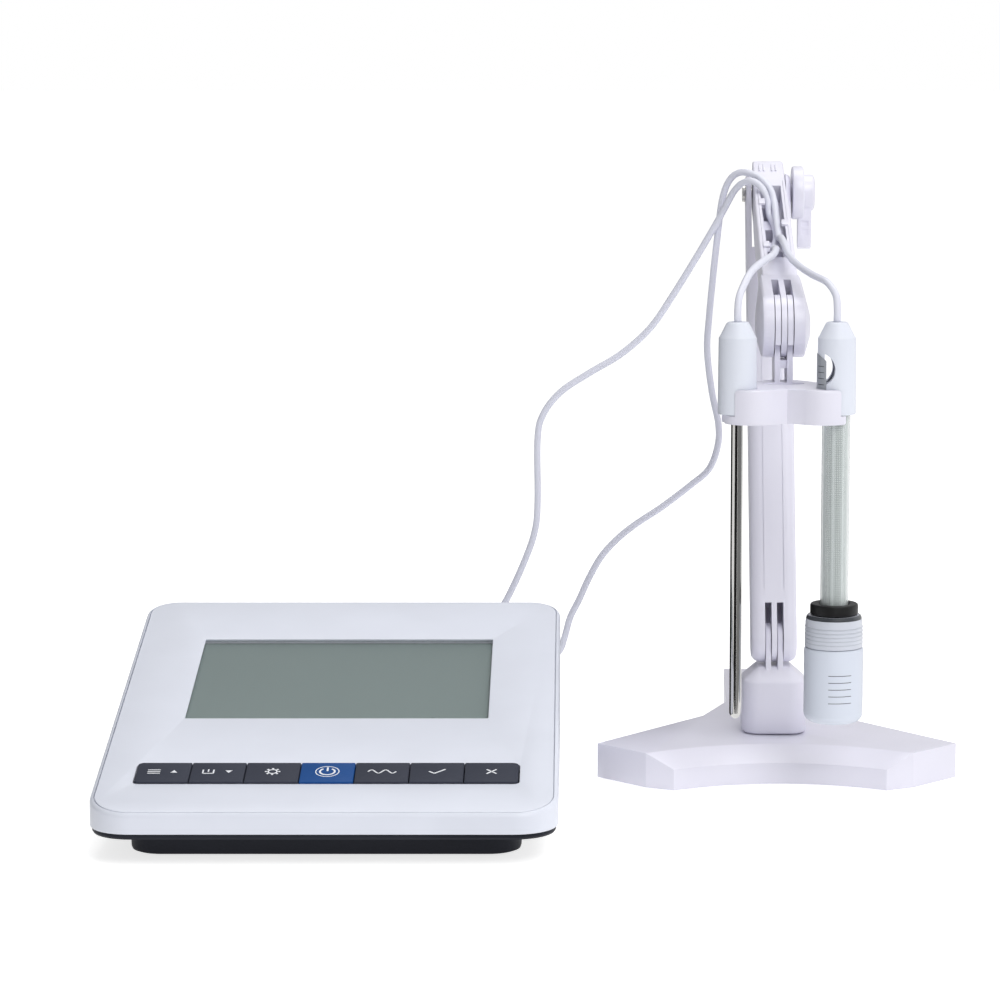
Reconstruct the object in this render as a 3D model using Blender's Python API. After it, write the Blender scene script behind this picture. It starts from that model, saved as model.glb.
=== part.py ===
"""Bench pH meter with its electrode stand, temperature probe, pH electrode and storage bottle.

Metres, +Z up. The operator stands at -Y. The origin is on the table, under the middle of the whole set.
"""

import math

import bmesh
import bpy
from mathutils import Matrix, Vector

MM = 0.001
GAP = 0.3 * MM

# Meter housing
METER_X = -89 * MM
METER_WIDTH = 190 * MM
METER_FRONT_Y = -169 * MM
METER_BACK_Y = 49 * MM
FACE_FRONT_Z = 22.6 * MM
FACE_BACK_Z = 71.7 * MM
SEAM_Z = 13.7 * MM
FLOOR_Z = 1.5 * MM
PLINTH_HALF = 80 * MM
PLINTH_FRONT_Y = -152 * MM
PLINTH_BACK_Y = 37 * MM
METER_DEPTH = METER_BACK_Y - METER_FRONT_Y
SLOPE = math.atan2(FACE_BACK_Z - FACE_FRONT_Z, METER_DEPTH)
FACE_LENGTH = METER_DEPTH / math.cos(SLOPE)

# Meter face, measured up the slope from its front edge
PANEL_HALF = 93 * MM
PANEL_EDGE = 1.7 * MM
PANEL_THICK = 1.0 * MM
DISPLAY_WIDTH = 129.4 * MM
DISPLAY_HEIGHT = 86 * MM
DISPLAY_V = 135.5 * MM
KEY_NAMES = ("key_mode", "key_store", "key_set", "key_power", "key_measure", "key_confirm", "key_escape")
KEY_PITCH = 22.5 * MM
KEY_DEPTH = 18.4 * MM
KEY_V = 37.4 * MM
KEY_PROUD = 0.8 * MM

# Stand
STAND_X = 103.4 * MM
BASE_TOP_Z = 16.5 * MM
TURRET_Y = 24 * MM
TURRET_WALL_Z = 40.6 * MM
TURRET_TOP_Z = 46.8 * MM
FOOT_PIVOT = (24 * MM, 57.6 * MM)
ELBOW = (99 * MM, 258 * MM)
WRIST = (-24 * MM, 206 * MM)
LUG_INNER = 1.5 * MM
LUG_OUTER = 3.9 * MM
LOWER_HALF = 10.4 * MM
CHEEK_INNER = 8.1 * MM

# Electrode holder and what hangs in it
HOLDER_TOP_Z = 182 * MM
HOLDER_BOTTOM_Z = 167 * MM
PROBE_Y = -56 * MM
PROBE_OFFSET = 21.2 * MM
CAP_RADIUS = 8.35 * MM
CAP_BOTTOM_Z = 171 * MM
CAP_TOP_Z = 210.4 * MM
TUBE_RADIUS = 6.1 * MM

# Cords
CORD_RADIUS = 1.6 * MM
SOCKET_Z = 38 * MM
PH_SOCKET_X = -15 * MM
TEMP_SOCKET_X = -37 * MM
POWER_SOCKET_X = -128 * MM


# ---------------------------------------------------------------- materials

def material(name, color, roughness, metallic=0.0):
    mat = bpy.data.materials.new(name)
    mat.use_nodes = True
    shader = mat.node_tree.nodes["Principled BSDF"]
    shader.inputs["Base Color"].default_value = (*color, 1.0)
    shader.inputs["Roughness"].default_value = roughness
    shader.inputs["Metallic"].default_value = metallic
    return mat


COLORS = {
    "white_plastic": ((0.80, 0.81, 0.85), 0.42, 0.0),
    "stand_plastic": ((0.74, 0.73, 0.80), 0.38, 0.0),
    "dark_plastic": ((0.035, 0.040, 0.055), 0.50, 0.0),
    "key_slate": ((0.075, 0.080, 0.105), 0.45, 0.0),
    "key_blue": ((0.02, 0.09, 0.33), 0.40, 0.0),
    "clear_plastic": ((0.75, 0.80, 0.79), 0.10, 0.0),
    "frosted_plastic": ((0.80, 0.84, 0.88), 0.45, 0.0),
    "display": ((0.19, 0.25, 0.23), 0.30, 0.0),
    "rubber": ((0.02, 0.02, 0.02), 0.80, 0.0),
    "steel": ((0.62, 0.62, 0.60), 0.22, 1.0),
    "board": ((0.02, 0.16, 0.08), 0.50, 0.0),
    "glass": ((0.85, 0.90, 0.90), 0.05, 0.0),
    "cord_jacket": ((0.80, 0.81, 0.86), 0.45, 0.0),
}


# ---------------------------------------------------------------- outlines

def arc(cx, cy, radius, start, end, steps):
    """Points on an arc, angles in degrees, both ends included."""
    angles = [math.radians(start + (end - start) * i / steps) for i in range(steps + 1)]
    return [(cx + radius * math.cos(a), cy + radius * math.sin(a)) for a in angles]


def rounded_rect(x0, y0, x1, y1, front_radius, back_radius, steps=4):
    """Counter-clockwise outline, with its own radius at the front (low y) and back corners."""
    rf, rb = front_radius, back_radius
    return (
        arc(x0 + rf, y0 + rf, rf, 180, 270, steps)
        + arc(x1 - rf, y0 + rf, rf, 270, 360, steps)
        + arc(x1 - rb, y1 - rb, rb, 0, 90, steps)
        + arc(x0 + rb, y1 - rb, rb, 90, 180, steps)
    )


def capsule(p, q, rp, rq, steps=10):
    """Outline round two circles and the straight flanks between them."""
    heading = math.degrees(math.atan2(q[1] - p[1], q[0] - p[0]))
    lean = math.degrees(math.asin((rp - rq) / math.dist(p, q)))
    ahead = arc(q[0], q[1], rq, heading - 90 + lean, heading + 90 - lean, steps)
    behind = arc(p[0], p[1], rp, heading + 90 - lean, heading + 270 + lean, steps)
    return ahead + behind


def beside(start, end, along, off):
    """The (y, z) point at a distance along the line from start to end, and off to its left."""
    length = math.dist(start, end)
    uy, uz = (end[0] - start[0]) / length, (end[1] - start[1]) / length
    return start[0] + uy * along - uz * off, start[1] + uz * along + uy * off


# ---------------------------------------------------------------- solids

def frame(name, place, tilt=0.0):
    """An empty that parents a body's pieces, on that body's joint axis."""
    empty = bpy.data.objects.new(name, None)
    bpy.context.collection.objects.link(empty)
    empty.location = place
    empty.rotation_euler = (tilt, 0, 0)
    return empty


def solid(name, bm, mat=None, parent=None):
    """Turn a bmesh in the parent's own axes into a named object. Without a material it is a cutter."""
    bmesh.ops.recalc_face_normals(bm, faces=bm.faces)
    mesh = bpy.data.meshes.new(name)
    bm.to_mesh(mesh)
    bm.free()
    obj = bpy.data.objects.new(name, mesh)
    bpy.context.collection.objects.link(obj)
    if mat:
        mesh.materials.append(MATERIALS[mat])
        mesh.shade_smooth()
        mesh.set_sharp_from_angle(angle=math.radians(30))
    else:
        obj.hide_render = True
        obj.display_type = "WIRE"
    if parent:
        obj.parent = parent
    return obj


def loft(rings):
    """A closed skin over rings of points, flat at both ends."""
    bm = bmesh.new()
    rows = [[bm.verts.new(p) for p in ring] for ring in rings]
    for low, high in zip(rows, rows[1:]):
        for i in range(len(low)):
            j = (i + 1) % len(low)
            bm.faces.new((low[i], low[j], high[j], high[i]))
    bm.faces.new(rows[0])
    bm.faces.new(rows[-1])
    bmesh.ops.remove_doubles(bm, verts=bm.verts, dist=1e-6)
    return bm


def upright(outline, low, high):
    """An x, y outline extruded from one height to another."""
    return loft([[(x, y, z) for x, y in outline] for z in (low, high)])


def sideways(outline, low, high, origin=(0, 0, 0)):
    """A y, z outline extruded along x."""
    ox, oy, oz = origin
    return loft([[(x - ox, y - oy, z - oz) for y, z in outline] for x in (low, high)])


def turned(profile, centre, axis="Z", segments=20):
    """A profile of (radius, height) points spun about an axis through centre."""
    quarter = math.pi / 2
    turn = {"Z": Matrix(), "Y": Matrix.Rotation(-quarter, 4, "X"), "X": Matrix.Rotation(quarter, 4, "Y")}
    bm = bmesh.new()
    steps = [2 * math.pi * i / segments for i in range(segments)]
    rows = []
    for radius, height in profile:
        if radius < 1e-7:
            rows.append([bm.verts.new((0, 0, height))])
        else:
            rows.append([bm.verts.new((radius * math.cos(a), radius * math.sin(a), height)) for a in steps])
    open_ends = profile[0][0] > 1e-7
    pairs = list(zip(rows, rows[1:])) + ([(rows[-1], rows[0])] if open_ends else [])
    for low, high in pairs:
        for i in range(segments):
            j = (i + 1) % segments
            if len(low) == 1:
                bm.faces.new((low[0], high[j], high[i]))
            elif len(high) == 1:
                bm.faces.new((low[i], low[j], high[0]))
            else:
                bm.faces.new((low[i], low[j], high[j], high[i]))
    bmesh.ops.transform(bm, matrix=Matrix.Translation(centre) @ turn[axis], verts=bm.verts)
    return bm


def in_mm(points):
    return [tuple(value * MM for value in point) for point in points]


def rod(radius, low, high, centre, axis="Z", segments=16):
    return turned([(0, low), (radius, low), (radius, high), (0, high)], centre, axis, segments)


def pipe(inner, outer, low, high, centre, axis="Z", segments=24):
    return turned([(inner, low), (outer, low), (outer, high), (inner, high)], centre, axis, segments)


def box(low, high):
    bm = bmesh.new()
    bmesh.ops.create_cube(bm, size=1.0)
    size = Vector(high) - Vector(low)
    middle = (Vector(high) + Vector(low)) / 2
    bmesh.ops.scale(bm, vec=size, verts=bm.verts)
    bmesh.ops.translate(bm, vec=middle, verts=bm.verts)
    return bm


def combine(target, tool, operation="DIFFERENCE"):
    """Cut a tool from a piece, or join it on, with a Boolean that stays live."""
    modifier = target.modifiers.new(f"{operation.lower()}_{len(target.modifiers)}", "BOOLEAN")
    modifier.operation = operation
    modifier.solver = "EXACT"
    modifier.object = tool


def cut(target, *shapes, parent=None):
    for shape in shapes:
        combine(target, solid(f"cutter_{target.name}", shape, parent=parent))


def join(target, *shapes, parent=None):
    for shape in shapes:
        combine(target, solid(f"joined_{target.name}", shape, parent=parent), "UNION")


for old in list(bpy.data.objects):
    bpy.data.objects.remove(old, do_unlink=True)
MATERIALS = {name: material(name, *look) for name, look in COLORS.items()}


# ---------------------------------------------------------------- meter housing

def face_height(y, below=0.0):
    """Height of the sloping face above the table at a given y, less a vertical allowance."""
    return FACE_FRONT_Z + (y - METER_FRONT_Y) * math.tan(SLOPE) - below


def housing_outline(inset):
    half, front, back = METER_WIDTH / 2 - inset, METER_FRONT_Y + inset, METER_BACK_Y - inset
    return rounded_rect(METER_X - half, front, METER_X + half, back, 18 * MM - inset, 14 * MM - inset)


def plinth_outline(inset):
    half = PLINTH_HALF - inset
    return rounded_rect(
        METER_X - half, PLINTH_FRONT_Y + inset, METER_X + half, PLINTH_BACK_Y - inset, 12 * MM, 12 * MM
    )


def level_ring(outline, z):
    return [(x, y, z) for x, y in outline]


def sloped_ring(outline, below):
    return [(x, y, face_height(y, below)) for x, y in outline]


FACE = frame("face_frame", (METER_X, METER_FRONT_Y, FACE_FRONT_Z), SLOPE)
CASE_SCREWS = [(METER_X + sx * 70.5 * MM, y) for sx in (-1, 1) for y in (-111 * MM, 22 * MM)]
SCREW_RADIUS = 1.45 * MM


def face_plate(grow, low, high):
    half, v0, v1 = PANEL_HALF + grow, PANEL_EDGE - grow, FACE_LENGTH - PANEL_EDGE + grow
    return upright(rounded_rect(-half, v0, half, v1, 16 * MM + grow, 12 * MM + grow), low, high)


def display_block(grow, low, high):
    w, h = DISPLAY_WIDTH / 2 + grow, DISPLAY_HEIGHT / 2 + grow
    return box((-w, DISPLAY_V - h, low), (w, DISPLAY_V + h, high))


def key_slot(grow, low, high):
    w, h = KEY_PITCH * 3.5 + grow, KEY_DEPTH / 2 + grow
    return box((-w, KEY_V - h, low), (w, KEY_V + h, high))


def upper_shell():
    rim = 2.0 * MM
    shell = solid(
        "upper_shell",
        loft([
            level_ring(housing_outline(0), SEAM_Z + GAP),
            sloped_ring(housing_outline(0), 2.2 * MM),
            sloped_ring(housing_outline(0.65 * MM), 0.65 * MM),
            sloped_ring(housing_outline(rim), 0),
        ]),
        "white_plastic",
    )
    wall, roof = 2.6 * MM, 3.4 * MM
    cut(shell, loft([level_ring(housing_outline(wall), 5 * MM), sloped_ring(housing_outline(wall), roof)]))
    bosses = [rod(4 * MM, 6 * MM, face_height(y) - 2.6 * MM, (x, y, 0), segments=16) for x, y in CASE_SCREWS]
    join(shell, *bosses)
    seat = PANEL_THICK + GAP
    cut(
        shell,
        face_plate(GAP, -seat, 9 * MM),
        display_block(1.2 * MM, -9 * MM, 3 * MM),
        key_slot(GAP, -9 * MM, 3 * MM),
        parent=FACE,
    )
    for x, y in CASE_SCREWS:
        cut(shell, rod(SCREW_RADIUS + GAP, 0, 22 * MM, (x, y, 0), segments=16))
    holes = ((PH_SOCKET_X, 4.8 * MM), (TEMP_SOCKET_X, 3.4 * MM), (POWER_SOCKET_X, 4.2 * MM))
    for x, radius in holes:
        cut(shell, rod(radius + GAP, METER_BACK_Y - 6 * MM, METER_BACK_Y + 6 * MM, (x, 0, SOCKET_Z), "Y"))


def lower_shell():
    lip, inner = 0.8 * MM, 4.0 * MM
    shell = solid(
        "lower_shell",
        loft([
            level_ring(plinth_outline(1.0 * MM), FLOOR_Z),
            level_ring(plinth_outline(0), 3.0 * MM),
            level_ring(plinth_outline(0), 10.4 * MM),
            level_ring(housing_outline(3.4 * MM), 11.2 * MM),
            level_ring(housing_outline(lip), 12.4 * MM),
            level_ring(housing_outline(lip), SEAM_Z),
        ]),
        "dark_plastic",
    )
    cut(
        shell,
        loft([
            level_ring(plinth_outline(inner), 5.5 * MM),
            level_ring(plinth_outline(inner), 12.8 * MM),
            level_ring(housing_outline(inner), 13.2 * MM),
            level_ring(housing_outline(inner), 16 * MM),
        ]),
    )
    for x, y in CASE_SCREWS:
        cut(
            shell,
            rod(SCREW_RADIUS + GAP, 0, 9 * MM, (x, y, 0), segments=16),
            rod(3.3 * MM, 0, 3.9 * MM, (x, y, 0), segments=20),
        )


def case_screws():
    head_low, head_high = 1.7 * MM, 3.6 * MM
    for number, (x, y) in enumerate(CASE_SCREWS, 1):
        profile = [
            (0, head_low), (2.9 * MM, head_low), (2.9 * MM, head_high),
            (SCREW_RADIUS, head_high), (SCREW_RADIUS, 20 * MM), (0, 20 * MM),
        ]
        solid(f"case_screw_{number}", turned(profile, (x, y, 0), segments=16), "steel")


def meter_feet():
    number = 0
    for sx in (-1, 1):
        for y in (-120 * MM, 5 * MM):
            number += 1
            foot = rod(7 * MM, 0, FLOOR_Z - GAP, (METER_X + sx * 60 * MM, y, 0), segments=20)
            solid(f"meter_foot_{number}", foot, "rubber")


def face_pieces():
    panel = solid("face_panel", face_plate(0, -PANEL_THICK, 0), "white_plastic", FACE)
    cut(panel, display_block(0, -3 * MM, 3 * MM), key_slot(GAP, -3 * MM, 3 * MM), parent=FACE)
    solid("display_window", display_block(0.9 * MM, -2.2 * MM, -1.3 * MM), "clear_plastic", FACE)
    solid("display_module", display_block(0.9 * MM, -8.0 * MM, -2.5 * MM), "display", FACE)
    solid("keypad_mat", key_slot(3 * MM, -5.4 * MM, -3.9 * MM), "rubber", FACE)
    solid("switch_board", key_slot(3 * MM, -7.3 * MM, -5.7 * MM), "board", FACE)
    solid("main_board", box((-64 * MM, 54 * MM, -11 * MM), (64 * MM, 192 * MM, -9.4 * MM)), "board", FACE)


def keys():
    """Seven flat-topped keys side by side. Each presses its own dome on the mat below."""
    for number, name in enumerate(KEY_NAMES):
        key_frame = frame(f"{name}_frame", ((number - 3) * KEY_PITCH, KEY_V, 0))
        key_frame.parent = FACE
        half_w, half_h = KEY_PITCH / 2 - 0.2 * MM, KEY_DEPTH / 2
        rings = []
        for inset, height in ((0, -2.8 * MM), (0, KEY_PROUD - 0.4 * MM), (0.4 * MM, KEY_PROUD)):
            w, h = half_w - inset, half_h - inset
            rings.append([(-w, -h, height), (w, -h, height), (w, h, height), (-w, h, height)])
        solid(name, loft(rings), "key_blue" if name == "key_power" else "key_slate", key_frame)


def wall_piece(name, profile, x, mat):
    """A piece turned about a line through the back wall. Heights are millimetres out from the wall."""
    solid(name, turned(in_mm(profile), (x, METER_BACK_Y, SOCKET_Z), "Y"), mat)


def sockets():
    wall_piece(
        "ph_socket",
        [(0, -12), (7, -12), (7, -3), (4.8, -3), (4.8, 9), (3.9, 9), (3.9, 2), (0, 2)],
        PH_SOCKET_X, "steel",
    )
    wall_piece(
        "temperature_socket",
        [(0, -12), (5.5, -12), (5.5, -3), (3.4, -3), (3.4, 1), (1.9, 1), (1.9, -9), (0, -9)],
        TEMP_SOCKET_X, "dark_plastic",
    )
    wall_piece(
        "power_socket",
        [(0, -12), (6.5, -12), (6.5, -3), (4.2, -3), (4.2, 0.8), (2.9, 0.8), (2.9, -9), (0, -9)],
        POWER_SOCKET_X, "dark_plastic",
    )


upper_shell()
lower_shell()
case_screws()
meter_feet()
face_pieces()
keys()
sockets()


# ---------------------------------------------------------------- stand base

def base_outline():
    """Half of the footprint as (offset from the stand's middle plane, y), front to back."""
    return [(80.6, -7), (30.8, 54), (18.6, 87), (16, 169)]


def front_curve(end_x, end_y, middle_y, steps=8):
    """A shallow curve across the front, bowed back in the middle."""
    return [
        (end_x * (2 * i / steps - 1), middle_y + (end_y - middle_y) * (2 * i / steps - 1) ** 2)
        for i in range(steps + 1)
    ]


def base_rings():
    """The wall's foot, the wall's top and the edge of the level top, point for point."""
    front_low = front_curve(47, -34, -20.5)
    front_top = front_curve(59.3, -28, -8)
    side = base_outline()
    right = [(59.3, -28)] + side
    left = [(-x, y) for x, y in reversed(right)]
    outline = front_low + right + left
    plateau = front_top + right + left
    wall_tops = [10.3] * len(front_low) + [16.5] * (len(right) + len(left))
    foot = [(STAND_X + x * MM, y * MM, 0.9 * MM) for x, y in outline]
    brow = [(STAND_X + x * MM, y * MM, z * MM) for (x, y), z in zip(outline, wall_tops)]
    top = [(STAND_X + x * MM, y * MM, BASE_TOP_Z) for x, y in plateau]
    return foot, brow, top


def pocket_outline(scale):
    """The hollow under the base, shrunk about a point near its middle to fit a plate inside it."""
    right = [(69, -7), (26, 45), (14, 84), (11.5, 163)]
    left = [(-x, y) for x, y in reversed(right)]
    middle_y = 30
    outline = front_curve(52, -20, -6, 6) + right + left
    return [(STAND_X + x * scale * MM, (middle_y + (y - middle_y) * scale) * MM) for x, y in outline]


def stand_base():
    base = solid("stand_base", loft(base_rings()), "stand_plastic")
    cut(base, upright(pocket_outline(1.0), 0, 12.5 * MM))
    cut(base, rod(3.3 * MM, 0, 30 * MM, (STAND_X, TURRET_Y, 0)))
    weight = solid("base_weight", upright(pocket_outline(0.95), 1.2 * MM, 8.5 * MM), "steel")
    cut(weight, rod(9 * MM, 0, 30 * MM, (STAND_X, TURRET_Y, 0)))
    places = {"base_pad_left": (-46, -2), "base_pad_right": (46, -2), "base_pad_rear": (0, 150)}
    for name, (x, y) in places.items():
        solid(name, rod(7.5 * MM, 0, 0.9 * MM, (STAND_X + x * MM, y * MM, 0), segments=20), "rubber")


stand_base()


# ---------------------------------------------------------------- turret

TURRET = frame("turret_frame", (STAND_X, TURRET_Y, BASE_TOP_Z))


def lug_outline(pivot, foot_y, foot_z, radius, half_foot):
    """A plate rounded about its pivot, with straight flanks down to a flat foot."""
    return arc(pivot[0], pivot[1], radius, -10, 190, 14) + [
        (foot_y - half_foot, foot_z), (foot_y + half_foot, foot_z)
    ]


def turret():
    y, z = TURRET_Y, BASE_TOP_Z
    wall, top = TURRET_WALL_Z - z, TURRET_TOP_Z - z

    def ring(inset, height):
        half, radius = 14.6 * MM - inset, 8 * MM - inset
        return level_ring(rounded_rect(-half, -half, half, half, radius, radius), height)

    hub = loft([
        ring(0.9 * MM, 0.4 * MM), ring(0.2 * MM, 1.2 * MM), ring(0, 2.4 * MM),
        ring(0.3 * MM, wall), ring(0.9 * MM, wall + 0.9 * MM), ring(7.2 * MM, top),
    ])
    body = solid("turret", hub, "stand_plastic", TURRET)
    lug = lug_outline(FOOT_PIVOT, y, TURRET_WALL_Z, 8.2 * MM, 9.5 * MM)
    outline = [(py - y, pz - z) for py, pz in lug]
    for side in (-1, 1):
        low, high = sorted((side * LUG_INNER, side * LUG_OUTER))
        join(body, sideways(outline, low, high), parent=TURRET)
    pivot = (0, FOOT_PIVOT[0] - y, FOOT_PIVOT[1] - z)
    cut(body, rod(2.3 * MM, -20 * MM, 20 * MM, pivot, "X"), parent=TURRET)
    cut(body, rod(3.3 * MM, -5 * MM, 14 * MM, (0, 0, 0)), parent=TURRET)
    shank_top = 13 * MM
    bolt = [
        (0, -7.3 * MM), (6.5 * MM, -7.3 * MM), (6.5 * MM, -4.4 * MM),
        (3 * MM, -4.4 * MM), (3 * MM, shank_top), (0, shank_top),
    ]
    solid("swivel_bolt", turned(bolt, (0, 0, 0)), "steel", TURRET)


turret()


# ---------------------------------------------------------------- folding arm

LOWER = frame("lower_arm_frame", (STAND_X, *FOOT_PIVOT))
UPPER = frame("upper_arm_frame", (STAND_X, *ELBOW))
LOWER_LENGTH = math.dist(FOOT_PIVOT, ELBOW)
UPPER_LENGTH = math.dist(ELBOW, WRIST)


def in_frame(outline, pivot):
    return [(y - pivot[0], z - pivot[1]) for y, z in outline]


def on_lower(along, off):
    return beside(FOOT_PIVOT, ELBOW, along, off)


def on_upper(along, off):
    """Along the upper arm from the elbow; off is towards its upper side."""
    return beside(ELBOW, WRIST, along, -off)


def slab(on, pivot, low, high, along0, along1, off0, off1):
    """A straight-sided block lying along an arm."""
    corners = [on(along0, off0), on(along1, off0), on(along1, off1), on(along0, off1)]
    return sideways(in_frame(corners, pivot), low, high)


def lower_arm():
    side = in_frame(capsule(FOOT_PIVOT, ELBOW, 9.6 * MM, 9.2 * MM), FOOT_PIVOT)
    edge = 1.6 * MM
    bm = sideways(side, -LOWER_HALF, LOWER_HALF)
    arm = solid("lower_arm", bm, "stand_plastic", LOWER)
    bevel = arm.modifiers.new("rounded_flanks", "BEVEL")
    bevel.width = edge
    bevel.segments = 2
    bevel.limit_method = "ANGLE"
    bevel.angle_limit = math.radians(60)
    foot_slot = in_frame(capsule(FOOT_PIVOT, on_lower(18 * MM, 0), 12.5 * MM, 12.4 * MM), FOOT_PIVOT)
    for side_sign in (-1, 1):
        low, high = sorted((side_sign * (LUG_INNER - GAP), side_sign * (LUG_OUTER + GAP)))
        cut(arm, sideways(foot_slot, low, high), parent=LOWER)
    elbow_slot = in_frame(capsule(on_lower(LOWER_LENGTH - 20 * MM, 0), on_lower(LOWER_LENGTH + 4 * MM, 0),
                                  13 * MM, 13.1 * MM), FOOT_PIVOT)
    cut(arm, sideways(elbow_slot, -CHEEK_INNER, CHEEK_INNER), parent=LOWER)
    wide, deep, far = 7.6 * MM, 6.9 * MM, LOWER_LENGTH - 24 * MM
    cut(arm, slab(on_lower, FOOT_PIVOT, -wide, wide, 36 * MM, far, -deep, deep), parent=LOWER)
    cut(arm, rod(2.3 * MM, -20 * MM, 20 * MM, (0, 0, 0), "X"), parent=LOWER)
    elbow_at = (0, ELBOW[0] - FOOT_PIVOT[0], ELBOW[1] - FOOT_PIVOT[1])
    cut(arm, rod(2.8 * MM, -20 * MM, 20 * MM, elbow_at, "X"), parent=LOWER)
    solid("foot_pivot_pin", rod(2.0 * MM, -9.4 * MM, 9.4 * MM, (0, 0, 0), "X"), "steel", LOWER)


def upper_arm():
    w = UPPER_LENGTH
    top = [(-8, 12.8), (0, 12.3), (12, 10.9), (84, 10.6), (104, 9.6), (118, 10.2)]
    bottom = [(118, -10.2), (104, -8.8), (20, -8.4), (-7, -8.4), (-10.5, -4.5), (-11.5, 1), (-11.5, 9)]
    swing = math.degrees(math.atan2(WRIST[1] - ELBOW[1], WRIST[0] - ELBOW[0]))
    tip = arc(WRIST[0], WRIST[1], 13.8 * MM, swing - 132, swing + 132, 11)
    back = [on_upper(a * MM, h * MM) for a, h in top]
    belly = [on_upper(a * MM, h * MM) for a, h in bottom]
    side = in_frame(back + tip + belly, ELBOW)
    arm = solid("upper_arm", sideways(side, -12 * MM, 12 * MM), "stand_plastic", UPPER)
    half_widths = [(-14, 6.8), (-6, 7.3), (16, 7.4), (40, 7.9), (100, 7.9), (110, 8.0),
                   (120, 9.2), (131, 10.8), (140, 10.8), (w / MM + 15, 8.8)]
    uy, uz = (WRIST[0] - ELBOW[0]) / w, (WRIST[1] - ELBOW[1]) / w

    def plan_ring(off):
        flank = [(a * MM, hw * MM) for a, hw in half_widths]
        loop = flank + [(a, -hw) for a, hw in reversed(flank)]
        return [(x, uy * a + uz * off, uz * a - uy * off) for a, x in loop]

    plan = solid("trim_upper_arm", loft([plan_ring(-30 * MM), plan_ring(30 * MM)]), parent=UPPER)
    combine(arm, plan, "INTERSECT")
    trough = slab(on_upper, ELBOW, -4.9 * MM, 4.9 * MM, 15 * MM, 88 * MM, 2.2 * MM, 20 * MM)
    cut(arm, trough, parent=UPPER)
    for along in (22 * MM, 44 * MM, 66 * MM):
        window = slab(on_upper, ELBOW, -3.4 * MM, 3.4 * MM, along, along + 13 * MM, -20 * MM, 3 * MM)
        cut(arm, window, parent=UPPER)
    for side_sign in (-1, 1):
        low, high = sorted((side_sign * (LUG_INNER - GAP), side_sign * (LUG_OUTER + 0.4 * MM)))
        cut(arm, slab(on_upper, ELBOW, low, high, 110 * MM, 160 * MM, -20 * MM, 20 * MM), parent=UPPER)
    wrist_at = (0, WRIST[0] - ELBOW[0], WRIST[1] - ELBOW[1])
    cut(arm, rod(2.3 * MM, -20 * MM, 20 * MM, wrist_at, "X"), parent=UPPER)
    cut(arm, rod(2.8 * MM, -20 * MM, 20 * MM, (0, 0, 0), "X"), parent=UPPER)
    solid("wrist_pin", rod(2.0 * MM, -10 * MM, 10 * MM, wrist_at, "X"), "steel", UPPER)


def cord_clips():
    """Small hooks that keep the two leads in the arm's trough, one node on alternating walls."""
    arm = bpy.data.objects["upper_arm"]
    for along, side in ((30 * MM, -1), (52 * MM, 1), (74 * MM, -1)):
        inner, outer = sorted((side * 3.2 * MM, side * 6.4 * MM))
        hook = slab(on_upper, ELBOW, inner, outer, along, along + 5 * MM, 10.4 * MM, 11.6 * MM)
        join(arm, hook, parent=UPPER)


def elbow_hardware():
    shank, head = 2.5 * MM, 4.4 * MM
    bolt = [
        (0, -11.9 * MM), (head, -11.9 * MM), (head, -10.7 * MM),
        (shank, -10.7 * MM), (shank, 13.4 * MM), (0, 13.4 * MM),
    ]
    solid("elbow_bolt", turned(bolt, (0, 0, 0), "X"), "steel", LOWER_TOP)
    knob_profile = in_mm([
        (0, 13.9), (2.8, 13.9), (2.8, 10.7), (4.5, 10.7), (4.5, 11.3), (12.2, 11.3), (12.5, 12), (12.5, 16),
        (12, 16.6), (8.6, 16.6), (8.6, 20.6), (7.2, 22), (0, 22),
    ])
    knob = solid("elbow_knob", turned(knob_profile, (0, 0, 0), "X", 24), "stand_plastic", LOWER_TOP)
    wing = [(-5.5, 0), (5.5, 0), (4.2, -24.5), (1.5, -26.5), (-2.6, -25.5), (-4.4, -22)]
    join(knob, sideways(in_mm(wing), 14.2 * MM, 20.4 * MM), parent=LOWER_TOP)


LOWER_TOP = frame("elbow_axis_frame", (STAND_X, *ELBOW))
lower_arm()
upper_arm()
cord_clips()
elbow_hardware()


# ---------------------------------------------------------------- electrode holder

HOLDER = frame("holder_frame", (STAND_X, *WRIST))


def holder_outline():
    """Two round lobes on a cross-bar, with a groove between them at the front."""
    lobe, cx, cy = 12.4, 15.4, -54.5
    right = arc(cx, cy, lobe, -137, 62, 10)
    back = [(17, -35), (12, -27), (6.5, -21.5), (0, -20)]
    half = right + back
    mirror = [(-x, y) for x, y in reversed(half[:-1])]
    front = [(0, -59.2)]
    return [(x * MM, y * MM) for x, y in front + half + mirror]


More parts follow.
